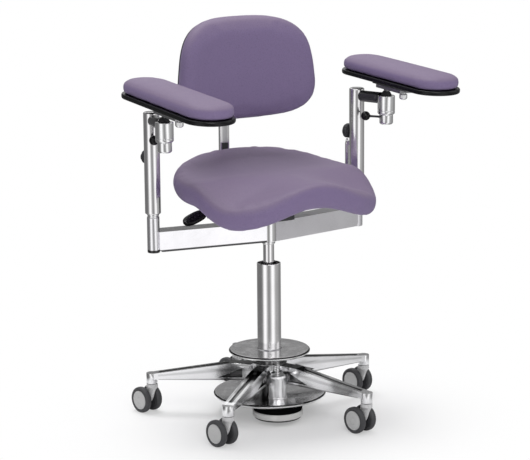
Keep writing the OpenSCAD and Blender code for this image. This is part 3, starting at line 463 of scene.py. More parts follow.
@dataclass(frozen=True)
class Enamel(Finish):
    """Stoved enamel on steel: a slight orange peel and rubbed spots."""

    roughness: float = 0.3
    depth: float = 0.00008

    def fill(self, recipe: Recipe) -> None:
        """Adds the finish's nodes.

        Args:
            recipe: The material's tree.
        """
        peel = recipe.noise(330, 2)
        rubbed = recipe.noise(30, 4).step(0.52, 0.8)
        worn = rubbed * 0.5 + recipe.noise(12, 2) * 0.3
        recipe.surface(
            Base_Color=recipe.mix(self.colour, shaded(self.colour, 1.7, 0.01), worn),
            Roughness=rubbed * 0.15 + peel * 0.06 + self.roughness, Coat_Weight=0.25, Coat_Roughness=0.12,
            Normal=recipe.bump(peel, self.depth))


@dataclass(frozen=True)
class Plywood(Finish):
    """Birch plywood under the upholstery."""

    def fill(self, recipe: Recipe) -> None:
        """Adds the finish's nodes.

        Args:
            recipe: The material's tree.
        """
        grain = recipe.noise(60, 5, recipe.place((0.12, 1.6, 1.0)), 0.6)
        sockets = {"Vector": recipe.place(), "Scale": 160.0, "Distortion": 0.6, "Detail": 1.0}
        plies = recipe.value("TexWave", {"bands_direction": "Z"}, sockets)
        wood = recipe.mix(shaded(self.colour, 0.62), self.colour, grain.step(0.3, 0.65))
        recipe.surface(Base_Color=recipe.mix(wood, shaded(self.colour, 0.7), plies * 0.4),
                       Roughness=grain * 0.15 + 0.55, Normal=recipe.bump(grain, 0.0001))


POLISHED = Metal("polished_tube", (0.93, 0.92, 0.93), "polished_steel", 0.12, 0.08, Lay.ALONG_Z, 1900,
                 0.000004)
TURNED = Metal("turned_steel", (0.92, 0.92, 0.93), "polished_steel", 0.15, 0.1, Lay.AROUND_Z, 2400)
BRIGHT_BAR = Bar("polished_bar", (0.94, 0.93, 0.96), "", 0.18, 0.1, Lay.ALONG_X, 1500, 0.000006)
# The satin bar's line of painted shade lies below it, out of sight; its top keeps the painted shade.
SATIN_BAR = Bar("satin_bar", (0.9, 0.89, 0.92), "", 0.42, 0.14, Lay.ALONG_X, 1300, 0.00002, shade=0.28,
                line_z=0.3)
SATIN = Metal("satin_plate", (0.66, 0.66, 0.67), "", 0.42, 0.14, Lay.ALONG_X, 1300, 0.00002)
SPUN_DISC = Spun("spun_disc", (0.78, 0.775, 0.785), "disc_steel", 0.15, 0.12, Lay.SPUN, 1500, 0.00002)
# A brighter copy of the disc steel, laid over the discs' lower chamfer: a painted highlight.
RIM_HIGHLIGHT = Metal("painted_rim_highlight", (0.97, 0.97, 0.97), "polished_steel", 0.34, 0.1, Lay.AROUND_Z, 1700, 0.000006)
CYLINDER_STEEL = Metal("satin_cylinder", (0.86, 0.86, 0.87), "satin_steel", 0.3, 0.12, Lay.AROUND_Z, 1700)
CAST = Casting("polished_casting", (0.9, 0.9, 0.91))
DARK_STEEL = Metal("dark_rail", (0.42, 0.42, 0.43), "polished_steel", 0.3, 0.12, Lay.NONE, 900)
SPRING = Metal("spring_wire", (0.8, 0.8, 0.8), "spring_steel", 0.28, 0.1, Lay.NONE, 800)
BLACK_SLEEVE = Enamel("black_arm", (0.035, 0.035, 0.038), "dark_enamel", 0.26)
ENAMEL = Enamel("dark_enamel", (0.045, 0.045, 0.048), "black_plastic")
BLACK = Moulded("black_plastic", (0.005, 0.005, 0.0055), "black_plastic", 0.34, shine=0.12)
BLACK_GLOSS = Moulded("black_gloss", (0.005, 0.005, 0.006), "black_plastic", 0.16, depth=0.00002, shine=0.22)
CASTOR_GREY = Moulded("castor_grey", (0.6, 0.6, 0.6), "grey_plastic", 0.4)
DISC_GREY = Moulded("wheel_disc", (0.56, 0.56, 0.555), "castor_wheel", 0.45)
RING_GREY = Moulded("foot_ring", (0.68, 0.675, 0.66), "grey_plastic", 0.4)
TYRE = Moulded("tyre", (0.06, 0.06, 0.063), "castor_wheel", 0.6, 900, 0.0001, 0.35, 0.25)
FOOT_BLACK = Moulded("foot_black", (0.003, 0.003, 0.0032), "black_plastic", 0.7, dust=0.06, shine=0.0)
SOLE = Moulded("sole_rubber", (0.012, 0.012, 0.012), "sole_rubber", 0.7, dust=0.3, shine=0.15)
# Vinyl's last colour is the painted sheen on upward faces.
VINYL = Vinyl("vinyl", (0.222, 0.17, 0.305), "upholstery", (0.213, 0.165, 0.25))
PLY = Plywood("plywood", (0.55, 0.4, 0.25))


# Mesh making


def linked(name: str, data: Any) -> Piece:
    """Makes an object of a mesh, a lamp or a camera and links it into the scene."""
    made = bpy.data.objects.new(name, data)
    bpy.context.scene.collection.objects.link(made)
    return made


def mesh_piece(name: str, verts: Corners, faces: Sequence[Sequence[int]], at: Matrix | None = None,
               crease: float = CREASE) -> Piece:
    """Makes one mesh object with smooth faces and sharp creases.

    Args:
        name: The piece's name.
        verts: Its points in its own axes.
        faces: Its faces.
        at: Its place from the foot of the column axis.
        crease: Angle in degrees over which an edge stays sharp.

    Returns:
        The object, linked into the scene.
    """
    mesh = bpy.data.meshes.new(name)
    mesh.from_pydata([tuple(v) for v in verts], [], [tuple(f) for f in faces])
    work = bmesh.new()
    work.from_mesh(mesh)
    bmesh.ops.remove_doubles(work, verts=work.verts, dist=1e-6)
    bmesh.ops.recalc_face_normals(work, faces=work.faces)
    work.to_mesh(mesh)
    work.free()
    mesh.shade_smooth()
    mesh.set_sharp_from_angle(angle=math.radians(crease))
    made = linked(name, mesh)
    made.matrix_world = COLUMN @ (at or Matrix.Identity(4))
    return made


def fillet(corners: Corners, steps: int = 4) -> list[tuple[float, float]]:
    """Rounds the corners of a flat outline.

    Args:
        corners: Points of two numbers, or three where the third is the corner's radius.
        steps: Points to a rounded corner.

    Returns:
        The rounded outline's points.
    """
    out: list[tuple[float, float]] = []
    for i, corner in enumerate(corners):
        here = Vector(corner[:2])
        if len(corner) < 3 or i in (0, len(corners) - 1):
            out.append(tuple(here))
            continue
        before, after = (Vector(corners[i + d][:2]) - here for d in SIDES)
        reach = min(corner[2], before.length * 0.49, after.length * 0.49)
        start, end = here + before.normalized() * reach, here + after.normalized() * reach
        for t in (k / steps for k in range(steps + 1)):
            out.append(tuple(start * (1 - t) ** 2 + here * (2 * t * (1 - t)) + end * t ** 2))
    return out


def fillet_loop(corners: Corners, steps: int = 5) -> list[tuple[float, float]]:
    """Rounds every corner of a closed outline."""
    return fillet([corners[-1], *corners, corners[0]], steps)[1:-1]


def box_outline(x: float, low: float, high: float, *corner: float) -> list[tuple[float, ...]]:
    """The four corners of a box of half width x from low to high, with a corner radius or none."""
    return [(-x, low, *corner), (x, low, *corner), (x, high, *corner), (-x, high, *corner)]


def turned(name: str, profile: Corners, at: Matrix | None = None, around: int = 96) -> Piece:
    """A lathe-turned piece about its own Z axis.

    Args:
        name: The piece's name.
        profile: Points of radius, height and corner radius, in mm.
        at: Its place.
        around: Facets round the axis.

    Returns:
        The object.
    """
    line = fillet(profile)
    n = len(line)
    verts = [(r * MM * math.cos(a), r * MM * math.sin(a), z * MM)
             for a in (k * math.tau / around for k in range(around)) for r, z in line]
    faces = [(k * n + i, j * n + i, j * n + i + 1, k * n + i + 1)
             for k, j in ((k, (k + 1) % around) for k in range(around)) for i in range(n - 1)]
    return mesh_piece(name, verts, faces, at, TURNED_CREASE)


def lofted(name: str, rings: Sequence[Sequence[Point]], at: Matrix | None = None,
           crease: float = CREASE) -> Piece:
    """A skin over rings of points in metres, closed at both ends.

    Args:
        name: The piece's name.
        rings: Rings with the same number of points each.
        at: Its place.
        crease: Angle over which an edge stays sharp.

    Returns:
        The object.
    """
    n = len(rings[0])
    last = (len(rings) - 1) * n
    verts = [p for ring in rings for p in ring]
    faces = [(k + i, k + (i + 1) % n, k + n + (i + 1) % n, k + n + i)
             for k in range(0, last, n) for i in range(n)]
    return mesh_piece(name, verts, [*faces, tuple(range(n)), tuple(range(last, last + n))], at, crease)


def fluted(name: str, profile: Corners, around: int, cut: Callable[[float, float, float], float], at: Matrix,
           crease: float) -> Piece:
    """A knob about its own Z axis with flutes in its rim.

    Args:
        name: The piece's name.
        profile: Points of radius, height and corner radius, in mm.
        around: Facets round the axis.
        cut: The cut's depth at an angle, a radius and a height.
        at: Its place.
        crease: Angle over which an edge stays sharp.

    Returns:
        The object.
    """
    rings = []
    for r, z in fillet(profile, 3):
        angles = [i * math.tau / around for i in range(around)]
        radii = [r - cut(a, r, z) for a in angles]
        rings.append([(s * math.cos(a) * MM, s * math.sin(a) * MM, z * MM) for a, s in zip(angles, radii)])
    return lofted(name, rings, at, crease)


def along(path: Sequence[Point], radius: float, sides: int) -> list[list[Point]]:
    """Rings of a round wire along a path.

    Args:
        path: The wire's middle line, in mm.
        radius: The wire's radius, in mm.
        sides: Points to a ring.

    Returns:
        The rings in metres.
    """
    rings = []
    up = Vector((0, 0, 1))
    for i, p in enumerate(path):
        tangent = (Vector(path[min(i + 1, len(path) - 1)]) - Vector(path[max(i - 1, 0)])).normalized()
        across = tangent.cross(up).normalized()
        up = across.cross(tangent).normalized()
        rings.append([tuple((Vector(p) + radius * (across * math.cos(a) + up * math.sin(a))) * MM)
                      for a in (k * math.tau / sides for k in range(sides))])
    return rings


def slab(name: str, outline: Corners, low: float, high: float, at: Matrix | None = None,
         round_edge: float = 0.0) -> Piece:
    """A flat outline pulled up along Z, with rounded edges.

    Args:
        name: The piece's name.
        outline: Its points in mm.
        low: Lower height in mm.
        high: Upper height in mm.
        at: Its place.
        round_edge: Radius of the edges in mm.

    Returns:
        The object.
    """
    n = len(outline)
    verts = [(x * MM, y * MM, z * MM) for z in (low, high) for x, y in outline]
    walls = [(i, (i + 1) % n, n + (i + 1) % n, n + i) for i in range(n)]
    piece = mesh_piece(name, verts, [tuple(reversed(range(n))), tuple(range(n, 2 * n)), *walls], at)
    if round_edge:
        soften(piece, round_edge)
    return piece


def soften(piece: Piece, width: float, segments: int = 3, angle: float = 30) -> None:
    """Rounds a piece's sharp edges with a modifier.

    Args:
        piece: The piece.
        width: Width of the rounding in mm.
        segments: Facets to an edge.
        angle: Angle in degrees over which an edge is rounded.
    """
    piece.modifiers.new("weld", "WELD").merge_threshold = 1e-5
    bevel = piece.modifiers.new("soft_edges", "BEVEL")
    bevel.width, bevel.segments, bevel.limit_method = width * MM, segments, "ANGLE"
    bevel.angle_limit, bevel.harden_normals = math.radians(angle), True
    bevel.use_clamp_overlap = True


def joined(name: str, pieces: Sequence[Piece]) -> Piece:
    """Joins pieces into one object of the given name."""
    with bpy.context.temp_override(active_object=pieces[0], selected_editable_objects=list(pieces)):
        bpy.ops.object.join()
    pieces[0].name = name
    return pieces[0]


def shift(x: float, y: float, z: float) -> Matrix:
    """A move in mm as a matrix."""
    return Matrix.Translation((x * MM, y * MM, z * MM))


def spin(axis: str, degrees: float) -> Matrix:
    """A turn about X, Y or Z as a matrix."""
    return Matrix.Rotation(math.radians(degrees), 4, axis)


def dress(piece: Piece, finish: Finish, body: str, *nodes: str) -> None:
    """Gives a piece its finish and the body that it moves with.

    Args:
        piece: The piece.
        finish: Its finish.
        body: The CAD body's name.
        nodes: CAD nodes that it stands for.
    """
    piece.data.materials.clear()
    piece.data.materials.append(finish.material())
    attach(piece, body)
    if nodes:
        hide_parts(*nodes)
    log.info("%s on %s: %s", piece.name, body, finish.name)


def lathe(name: str, finish: Finish, body: str, profile: Corners, at: Matrix | None = None, around: int = 96,
          node: str = "") -> None:
    """Turns and dresses a piece, which may stand for a CAD node."""
    dress(turned(name, profile, at, around), finish, body, *([node] if node else []))


def repaint(finish: Finish, *nodes: str, edge: float = 0.0) -> None:
    """Gives CAD nodes that stay in view a finish, and softens their edges.

    Args:
        finish: The finish.
        nodes: The nodes.
        edge: Width of the softened edges in mm.
    """
    for name in nodes:
        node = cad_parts[name]
        for place in node.material_slots:
            place.link = "OBJECT"
            place.material = finish.material()
        if edge:
            soften(node, edge, 2, 28)
        log.info("%s: %s", name, finish.name)


def smooth_line(points: Sequence[tuple[float, ...]], times: int) -> list[tuple[float, ...]]:
    """More points on a smooth curve through the given ones.

    Args:
        points: The curve's points.
        times: Steps between two of them.

    Returns:
        The finer points.
    """
    out = []
    for i in range(len(points) - 1):
        near = list(zip(*(points[max(0, min(len(points) - 1, i + k))] for k in (-1, 0, 1, 2))))
        for t in (s / times for s in range(times)):
            out.append(tuple(0.5 * (2 * q + (r - p) * t + (2 * p - 5 * q + 4 * r - w) * t * t
                                    + (3 * q - p - 3 * r + w) * t ** 3) for p, q, r, w in near))
    return out + [tuple(points[-1])]


def superellipse(angle: float, power: float, half_w: float, half_d: float) -> tuple[float, float]:
    """A point of a squared ellipse.

    Args:
        angle: The point's angle in radians.
        power: How square it is.
        half_w: Half its width.
        half_d: Half its depth.

    Returns:
        The point.
    """
    c, s = math.cos(angle), math.sin(angle)
    r = 1 / (abs(c) ** power + abs(s) ** power) ** (1 / power)
    return half_w * c * r, half_d * s * r


def ease(t: float) -> float:
    """A smooth step from 0 to 1."""
    t = min(1.0, max(0.0, t))
    return t * t * (3 - 2 * t)


# Upholstery


@dataclass
class Cushion:
    """A foam cushion in vinyl: a fine skin, blown up as cloth, with its welt pressed back in."""

    name: str
    node: str
    body: str
    rings: list[list[Point]]
    keep: Callable[[Vector], float]
    cap: float = 5.0
    voxel: float = 6.0
    welt: list[Point] = field(default_factory=list)
    welt_depth: float = 1.6
    welt_width: float = 7.0
    welt_steps: int = 8
    stiffness: float = 18
    bending: float = 4
    pressure: float = 3.0
    frames: int = 20
    relax: int = 3

    def build(self) -> None:
        """Makes, blows up and dresses the cushion."""
        piece = lofted(self.name, self.rings, crease=180)
        self.blow(piece)
        self.press(piece)
        rise = piece.modifiers.new("fine", "SUBSURF")
        rise.levels = rise.render_levels = 1
        piece.data.shade_smooth()
        dress(piece, VINYL, self.body, self.node)

    def settle(self, piece: Piece) -> bpy.types.Mesh:
        """Takes a piece's modifiers off and keeps the shape that they give it.

        Args:
            piece: The piece.

        Returns:
            The mesh, as the modifiers leave it.
        """
        mesh = bpy.data.meshes.new_from_object(piece.evaluated_get(bpy.context.evaluated_depsgraph_get()))
        piece.modifiers.clear()
        piece.data = mesh
        return mesh

    def blow(self, piece: Piece) -> None:
        """Simulates the cover over the foam and caps its rise.

        Args:
            piece: The skin.
        """
        even = piece.modifiers.new("even", "REMESH")
        even.mode, even.voxel_size = "VOXEL", self.voxel * MM
        mesh = self.settle(piece)
        start = [v.co.copy() for v in mesh.vertices]
        pins = piece.vertex_groups.new(name="held")
        for v in mesh.vertices:
            pins.add([v.index], 1 - self.keep(v.co), "REPLACE")
        cloth = piece.modifiers.new("cover", "CLOTH")
        cloth.settings.quality, cloth.settings.mass = 4, 0.4
        cloth.settings.tension_stiffness = cloth.settings.compression_stiffness = self.stiffness
        cloth.settings.bending_stiffness = self.bending
        cloth.settings.use_pressure, cloth.settings.uniform_pressure_force = True, self.pressure
        cloth.settings.vertex_group_mass, cloth.settings.pin_stiffness = "held", 1.0
        cloth.settings.effector_weights.gravity = 0
        cloth.collision_settings.use_collision = False
        cloth.point_cache.frame_start, cloth.point_cache.frame_end = 1, self.frames
        for step in range(1, self.frames + 1):
            bpy.context.scene.frame_set(step)
        mesh = self.settle(piece)
        for v, was in zip(mesh.vertices, start):
            move = v.co - was
            if move.length > self.cap * MM:
                v.co = was + move.normalized() * self.cap * MM
        bpy.context.scene.frame_set(1)
        work = bmesh.new()
        work.from_mesh(mesh)
        for _ in range(self.relax):
            bmesh.ops.smooth_vert(work, verts=work.verts, factor=0.5, use_axis_x=True, use_axis_y=True,
                                  use_axis_z=True)
        work.to_mesh(mesh)
        work.free()

    def press(self, piece: Piece) -> None:
        """Presses the welt line into the skin.

        Args:
            piece: The cushion.
        """
        if not self.welt:
            return
        ends = [Vector(p) for p in self.welt]
        line = [a.lerp(b, k / self.welt_steps) for a, b in zip(ends, ends[1:] + ends[:1])
                for k in range(self.welt_steps)]
        tree = KDTree(len(line))
        for i, place in enumerate(line):
            tree.insert(place, i)
        tree.balance()
        reach = self.welt_width * MM
        for v in piece.data.vertices:
            near = tree.find(v.co)[2]
            if near < reach:
                v.co -= v.normal * self.welt_depth * MM * (1 - near / reach) ** 2


@dataclass
class Seat:
    """The saddle seat with its board, plate and tilt gear."""

    width: float = 446
    front_y: float = -216
    back_y: float = 166
    top_z: float = 562
    edge: float = 55
    side_share: float = 0.006
    lobe_drop: float = 39
    lobe_x_share: float = 0.79
    lobe_y_share: float = 0.64
    back_rise: float = 40
    front_power: float = 2.6
    back_power: float = 2.45
    flat_z: float = 509.3
    crease_share: float = 0.93
    points: int = 144
    held_r: float = 150
    held_z: float = 511.5
    lever_y: float = 38
    lever_z: float = 469
    blade_x: float = -169
    blade_points: int = 72

    def shape(self, x: float, y: float) -> float:
        """Height of the saddle over its middle."""
        u, v = abs(x) / (self.width / 2), y / ((self.back_y - self.front_y) / 2)
        return (self.back_rise * max(0.0, v) ** 2 - self.width * self.side_share * u * u
                - self.lobe_drop * ease(-v / self.lobe_y_share) * ease(u / self.lobe_x_share))

    def ring(self, share: float, drop: float, flat: float = 0.0) -> list[Point]:
        """One ring of the cushion's skin.

        Args:
            share: Its share of the outline.
            drop: Its drop below the top as a share of the edge.
            flat: How far it is drawn to the flat underside, 0 to 1.

        Returns:
            The ring's points in metres.
        """
        out = []
        middle, half = (self.front_y + self.back_y) / 2, (self.back_y - self.front_y) / 2
        top = self.crease_share if drop else min(share, self.crease_share)
        for a in (i * math.tau / self.points for i in range(self.points)):
            power = self.front_power if math.sin(a) < 0 else self.back_power
            x, y = superellipse(a, power, self.width / 2, half)
            z = self.top_z + self.shape(x * top, y * top) - drop * self.edge
            z = z * (1 - flat) + self.flat_z * flat
            out.append((x * share * MM, (middle + y * share) * MM, z * MM))
        return out

    def keep(self, p: Vector) -> float:
        """How freely the cover moves: not at all where it lies on the board."""
        middle = (self.front_y + self.back_y) / 2
        held = math.hypot(p.x, p.y - middle * MM) < self.held_r * MM
        return ease((p.z - self.held_z * MM) / FREED_OVER) if held else 1.0

    def build(self) -> None:
        """Makes the cushion and dresses what carries it."""
        edge = smooth_line([(self.crease_share, 0), (0.972, 0.085), (0.994, 0.27), (1.0, 0.5), (0.985, 0.76),
                            (0.955, 0.93), (0.91, 1)], 3)
        under = [(0.84, 1, 0.12), (0.76, 1, 0.5), (0.68, 1, 0.85), (0.62, 1, 1), (0.4, 1, 1), (0.15, 1, 1)]
        top = [(share, 0) for share in (0.06, 0.14, 0.24, 0.36, 0.48, 0.6, 0.7, 0.79, 0.86, 0.9)]
        rings = [self.ring(*shares) for shares in top + edge + under]
        Cushion("seat_upholstery", "seat_cushion", "seat", rings, self.keep, cap=4,
                welt=self.ring(self.crease_share, 0), welt_depth=1.0, welt_width=8).build()
        repaint(PLY, "seat_board", edge=1.2)
        repaint(SATIN, "seat_plate", edge=0.8)
        repaint(ENAMEL, "tilt_housing", edge=1.5)
        self.lever()

    def lever(self) -> None:
        """The tilt lever: a shaft and an oval grip blade with studs."""
        lathe("tilt_shaft", BLACK, "tilt_lever", [(0, 0), (5, 0, 0.4), (5, 100, 0.4), (0, 100)],
              shift(-35.5, self.lever_y, self.lever_z) @ spin("Y", -90), 32, "tilt_lever")
        length, width, thick, inward, square = 29.0, 16.0, 5.0, 9, 2.5
        outline = [superellipse(i * math.tau / self.blade_points, square, length, width)
                   for i in range(self.blade_points)]
        rings = []
        for t, grow in smooth_line([(-1, 0.72), (-0.86, 0.9), (-0.5, 0.99), (0, 1), (0.5, 0.99), (0.86, 0.9),
                                    (1, 0.72)], 2):
            inset = (1 - grow) * inward
            shares = [(math.hypot(x, y) - inset) / math.hypot(x, y) * MM for x, y in outline]
            rings.append([(x * share, y * share, t * thick * MM) for (x, y), share in zip(outline, shares)])
        at = shift(self.blade_x, self.lever_y, self.lever_z) @ spin("Y", -20) @ spin("X", 18)
        dress(lofted("tilt_blade", rings, at, 50), BLACK_GLOSS, "tilt_lever")
        studs = [turned(f"dot{i}{side}", [(0, 0), (1.5, 0, 0.3), (1.1, 0.7, 0.4), (0, 0.7)],
                        at @ shift(-18 + i * 8.5, side * 4.5, 4.9), 16) for i in range(5) for side in SIDES]
        dress(joined("tilt_blade_studs", studs), BLACK, "tilt_lever")


@dataclass
class Backrest:
    """The curved backrest with its shell, stem and sleeve."""

    width: float = 344
    low: float = 665
    high: float = 904
    front_y: float = 97
    thick: float = 48
    wing: float = 38
    power: float = 3.3
    narrow: float = 0.09
    shell: float = 8
    shell_gap: float = 0.3
    points: int = 120
    pin_y: float = 180
    pin_z: float = 745
    glued: float = 4

    def ring(self, share: float, depth: float, y0: float, thick: float) -> list[Point]:
        """One ring of a curved panel.

        Args:
            share: Its share of the outline.
            depth: Its share of the thickness, from the back.
            y0: The back face's Y at its middle.
            thick: The panel's thickness.

        Returns:
            The ring in metres.
        """
        half = (self.high - self.low) / 2
        out = []
        for i in range(self.points):
            x, z = superellipse(i * math.tau / self.points, self.power, self.width / 2, half)
            x = x * (1 - self.narrow * z / half) * share
            bend = -self.wing * (abs(x) / (self.width / 2)) ** 2
            out.append((x * MM, (y0 - thick * depth + bend) * MM, (self.low + half + z * share) * MM))
        return out

    def build(self) -> None:
        """Makes the cushion, the shell, the stem and its sleeve."""
        y0 = self.front_y + self.thick
        edge = smooth_line([(0.88, 0.0), (0.955, 0.07), (0.985, 0.22), (1.0, 0.42), (0.996, 0.62),
                            (0.968, 0.81), (0.905, 0.925), (0.8, 0.97)], 3)
        shares = [(0.1, 0), (0.35, 0), (0.6, 0), (0.78, 0), *edge, (0.68, 0.985), (0.5, 0.995), (0.3, 1.0),
                  (0.1, 1.0)]

        def keep(p: Vector) -> float:
            """How freely the cover moves: not at all where it meets the shell."""
            bend = self.wing * MM * (p.x / (self.width / 2 * MM)) ** 2
            return ease((y0 * MM - bend - self.glued * MM - p.y) / FREED_OVER)

        Cushion("back_upholstery", "back_cushion", "backrest",
                [self.ring(s, d, y0, self.thick) for s, d in shares], keep).build()
        back = y0 + self.shell_gap + self.shell
        bead = [(0.785, -0.05), (0.795, -0.17), (0.81, -0.2), (0.835, -0.17), (0.85, -0.07)]
        edge = smooth_line([(0.86, 0.0), (0.915, 0.12), (0.94, 0.5), (0.942, 1.0)], 4)
        shares = [(0.08, 0), (0.3, 0), (0.5, 0), (0.7, 0), (0.77, 0), *bead, *edge, (0.88, 1), (0.6, 1),
                  (0.3, 1)]
        panel = lofted("back_shell_panel", [self.ring(s, d, back, self.shell) for s, d in shares], None, 50)
        dress(panel, BLACK, "backrest", "back_shell")
        self.hinge(back)
        self.stem()
        repaint(ENAMEL, "back_arm", edge=1.2)
        repaint(BLACK, "back_sleeve", edge=1.0)

    def hinge(self, shell_y: float) -> None:
        """The mounting plate with its screws, and the two ears with their caps.

        Args:
            shell_y: Y of the shell's back at its middle.
        """
        outline = fillet_loop(box_outline(38, 712, 778, 8))
        plate = slab("back_mount", outline, -shell_y - 2.6, 3 - shell_y, ACROSS, 1.2)
        dress(plate, BLACK_GLOSS, "backrest")
        head = [(0, 0), (5, 0, 0.4), (4.6, 1.6, 0.8), (2.4, 2.4, 0.5), (2.2, 1.2, 0.2), (0, 1.2)]
        heads = [turned(f"head{x}{z}", head, shift(x, shell_y + 2.4, z) @ spin("X", -90), 32)
                 for x in (-29, 29) for z in (721, 769)]
        dress(joined("back_mount_screws", heads), TURNED, "backrest")
        outline = fillet([(shell_y - 2, 733), (168, 733), (176, 733.2, 4), (186, 736, 6), (192, 745, 7),
                          (186, 754, 6), (176, 756.8, 4), (168, 757), (shell_y - 2, 757)], 6)
        cap = [(0, 0), (8, 0, 0.6), (8, 2.6, 1.2), (4, 3.4, 0.5), (3.2, 2.4, 0.3), (0, 2.4)]
        for side, letter in zip(SIDES, "rl"):
            ear = slab(f"back_ear_{letter}", outline, -4, 4, shift(side * 16.8, 0, 0) @ LENGTHWISE, 0.8)
            dress(ear, BLACK, "backrest")
            at = shift(side * 20.9, self.pin_y, self.pin_z) @ spin("Y", side * 90)
            lathe(f"back_pin_cap_{letter}", TURNED, "backrest", cap, at, 48)

    def stem(self) -> None:
        """The flat chrome stem with its ribbed middle band and rounded edges."""
        at = shift(0, self.pin_y, self.pin_z) @ spin("Y", 90)
        knuckle = [(5.1, -12.5), (11.4, -12.5, 0.8), (12, -11.8, 0.4), (12, 11.8, 0.4), (11.4, 12.5, 0.8),
                   (5.1, 12.5)]
        pin = [(0, -20.5), (4.6, -20.5, 0.3), (5, -20, 0.3), (5, 20, 0.3), (4.6, 20.5, 0.3), (0, 20.5)]
        bar = slab("back_stem_bar", fillet_loop(box_outline(12.5, 190.5, 199.5, 2.2)), 515, 745, None, 0.4)
        pieces = [bar, turned("back_knuckle", knuckle, at, 64),
                  slab("back_stem_web", box_outline(12.7, 180, 199.8), 733, 757, None, 0.8),
                  turned("back_pin", pin, at, 48)]
        for piece in pieces:
            dress(piece, POLISHED, "back_stem")
        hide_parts("back_stem")
        half, pitch, front, back = 0.7, 2.6, 190.47, 191.4
        ribs = [slab(f"rib{k}", [(x - half, front), (x + half, front), (x + half, back), (x - half, back)],
                     604, 732) for k, x in enumerate(i * pitch for i in (-2, -1, 0, 1, 2))]
        dress(joined("back_stem_ribs", ribs), DARK_STEEL, "back_stem")


@dataclass
class ArmRest:
    """One arm rest: post, horizontal arm, barrel, cup lever, dome, rail and pad."""

    side: Side
    post_low: float
    turn: float
    droop: float
    ahead: float
    lever_turn: float
    post_x: float = 269.9
    post_y: float = 44.7
    post_len: float = 225.5
    collar_top: float = 489.5
    knob_drop: float = 103
    arm_len: float = 87
    arm_drop: float = 18
    barrel_drop: float = 10.6
    pivot_up: float = 8
    length: float = 380
    width: float = 112
    rail_up: float = 17
    rail_t: float = 9
    rail_knob_y: float = -67
    block: float = 11.5
    plate: float = 10.5
    pad: float = 31
    pad_inset: float = 2.5
    glued: float = 3
    freed_over: float = 0.012
    ball_r: float = 10.7
    ball_far: float = 48

    @property
    def top(self) -> float:
        """Height of the post's top."""
        return self.post_low + self.post_len

    @property
    def post(self) -> Matrix:
        """The post's place, turned so that its arm runs along -Y."""
        return shift(self.side.value * self.post_x, self.post_y, 0) @ spin("Z", self.side.value * self.turn)

    @property
    def barrel(self) -> Matrix:
        """The top of the barrel."""
        a = math.radians(self.side.value * self.turn)
        return shift(self.side.value * self.post_x + self.arm_len * math.sin(a),
                     self.post_y - self.arm_len * math.cos(a), self.top - self.barrel_drop)

    @property
    def carried(self) -> Matrix:
        """The pad's own axes, drooped about the dome's pivot."""
        return self.barrel @ shift(0, 0, self.pivot_up) @ spin("X", self.droop) @ shift(0, 0, -self.pivot_up)

    def named(self, word: str) -> str:
        """A body's, a node's or a piece's name on this side."""
        return f"{self.side.word}_{word}"

    def lathe(self, word: str, finish: Finish, body: str, profile: Corners, at: Matrix, around: int,
              node: str = "") -> None:
        """Turns and dresses a piece; its own, its body's and its node's names come without the side."""
        node = self.named(node) if node else ""
        lathe(self.named(word), finish, self.named(body), profile, at, around, node)

    def build(self) -> None:
        """Makes every piece of the arm rest."""
        self.make_post()
        self.make_knob(self.post @ shift(0, 0, self.top - self.knob_drop) @ spin("X", -90))
        self.make_barrel()
        self.make_rail()
        self.make_pad()

    def make_post(self) -> None:
        """The collar, the inner tube, the post tube, the arm, the lugs and the lock rod."""
        low, top = self.post_low, self.top
        lifted = self.post @ shift(0, 0, low - self.collar_top)
        collar = [(10.5, 481), (12.6, 481, 0.4), (13.4, 481.6, 0.4), (13.4, 483.4, 0.5), (11.9, 483.8, 0.4),
                  (11.9, 485.6, 0.4), (13.4, 486, 0.5), (13.4, 489, 0.4), (13, 489.5, 0.3), (10.5, 489.5)]
        self.lathe("collar", TURNED, "post", collar, lifted, 72)
        inner = [(0, 408), (10, 408, 0.4), (10.5, 408.6, 0.3), (10.5, 572.6, 0.3), (10, 573.3, 0.4),
                 (0, 573.3)]
        self.lathe("inner_tube", POLISHED, "post", inner, lifted, 64, "inner_post")
        tube = [(10.55, low), (16.2, low, 0.3), (17.5, low + 1.3, 0.9), (17.5, top - 2.2, 1.6),
                (15.2, top, 1.6), (0, top)]
        self.lathe("post", POLISHED, "arm", tube, self.post, 96, "post_tube")
        arm = [(12.4, 14), (13, 14.8, 0.5), (13, 63, 0.4), (12.2, 65, 0.8), (12.2, 67.8), (13.4, 68.2, 0.4),
               (13.4, 70.4)]
        at = self.post @ shift(0, 0, top - self.arm_drop) @ spin("X", 90)
        self.lathe("arm_bar", BLACK_SLEEVE, "arm", arm, at, 64)
        lug = fillet_loop([(-4, 15, 0.1), (4, 15, 0.1), (4, 27, 1.5), (3, 30, 1), (-3, 30, 1), (-4, 27, 1.5)])
        for k, z in enumerate((low + 14, top - 137)):
            dress(slab(self.named(f"lug_{k}"), lug, z, z + 10, self.post, 0.6), POLISHED, self.named("arm"))
        rod = [(0, low + 12), (4, low + 12, 0.4), (4.7, low + 12.8, 0.4), (4.7, top - 133, 0.8),
               (2.7, top - 124, 2), (2.3, top - 121.4, 0.6), (0, top - 121)]
        self.lathe("stop_rod", POLISHED, "arm", rod, self.post @ shift(0, 29, 0), 48, "lock_rod")

    def make_knob(self, at: Matrix) -> None:
        """The fluted clamp knob behind the post.

        Args:
            at: The knob's axis, with the post's axis at the origin.
        """
        profile = [(3, 18.7), (10, 18.7, 0.5), (12.4, 19.6, 1), (16, 19.9, 1.2), (17, 21.2, 1.2),
                   (17, 29.4, 1.8), (15.4, 31.4, 1.6), (8.4, 31.7, 0.6), (7.6, 30.6, 0.5), (3, 30.6)]

        def flute(a: float, r: float, z: float) -> float:
            """Seven flutes in the rim."""
            return 0.9 * max(0.0, math.cos(a * 7)) ** 3 if r > 14.5 and 19.7 < z < 31.2 else 0.0

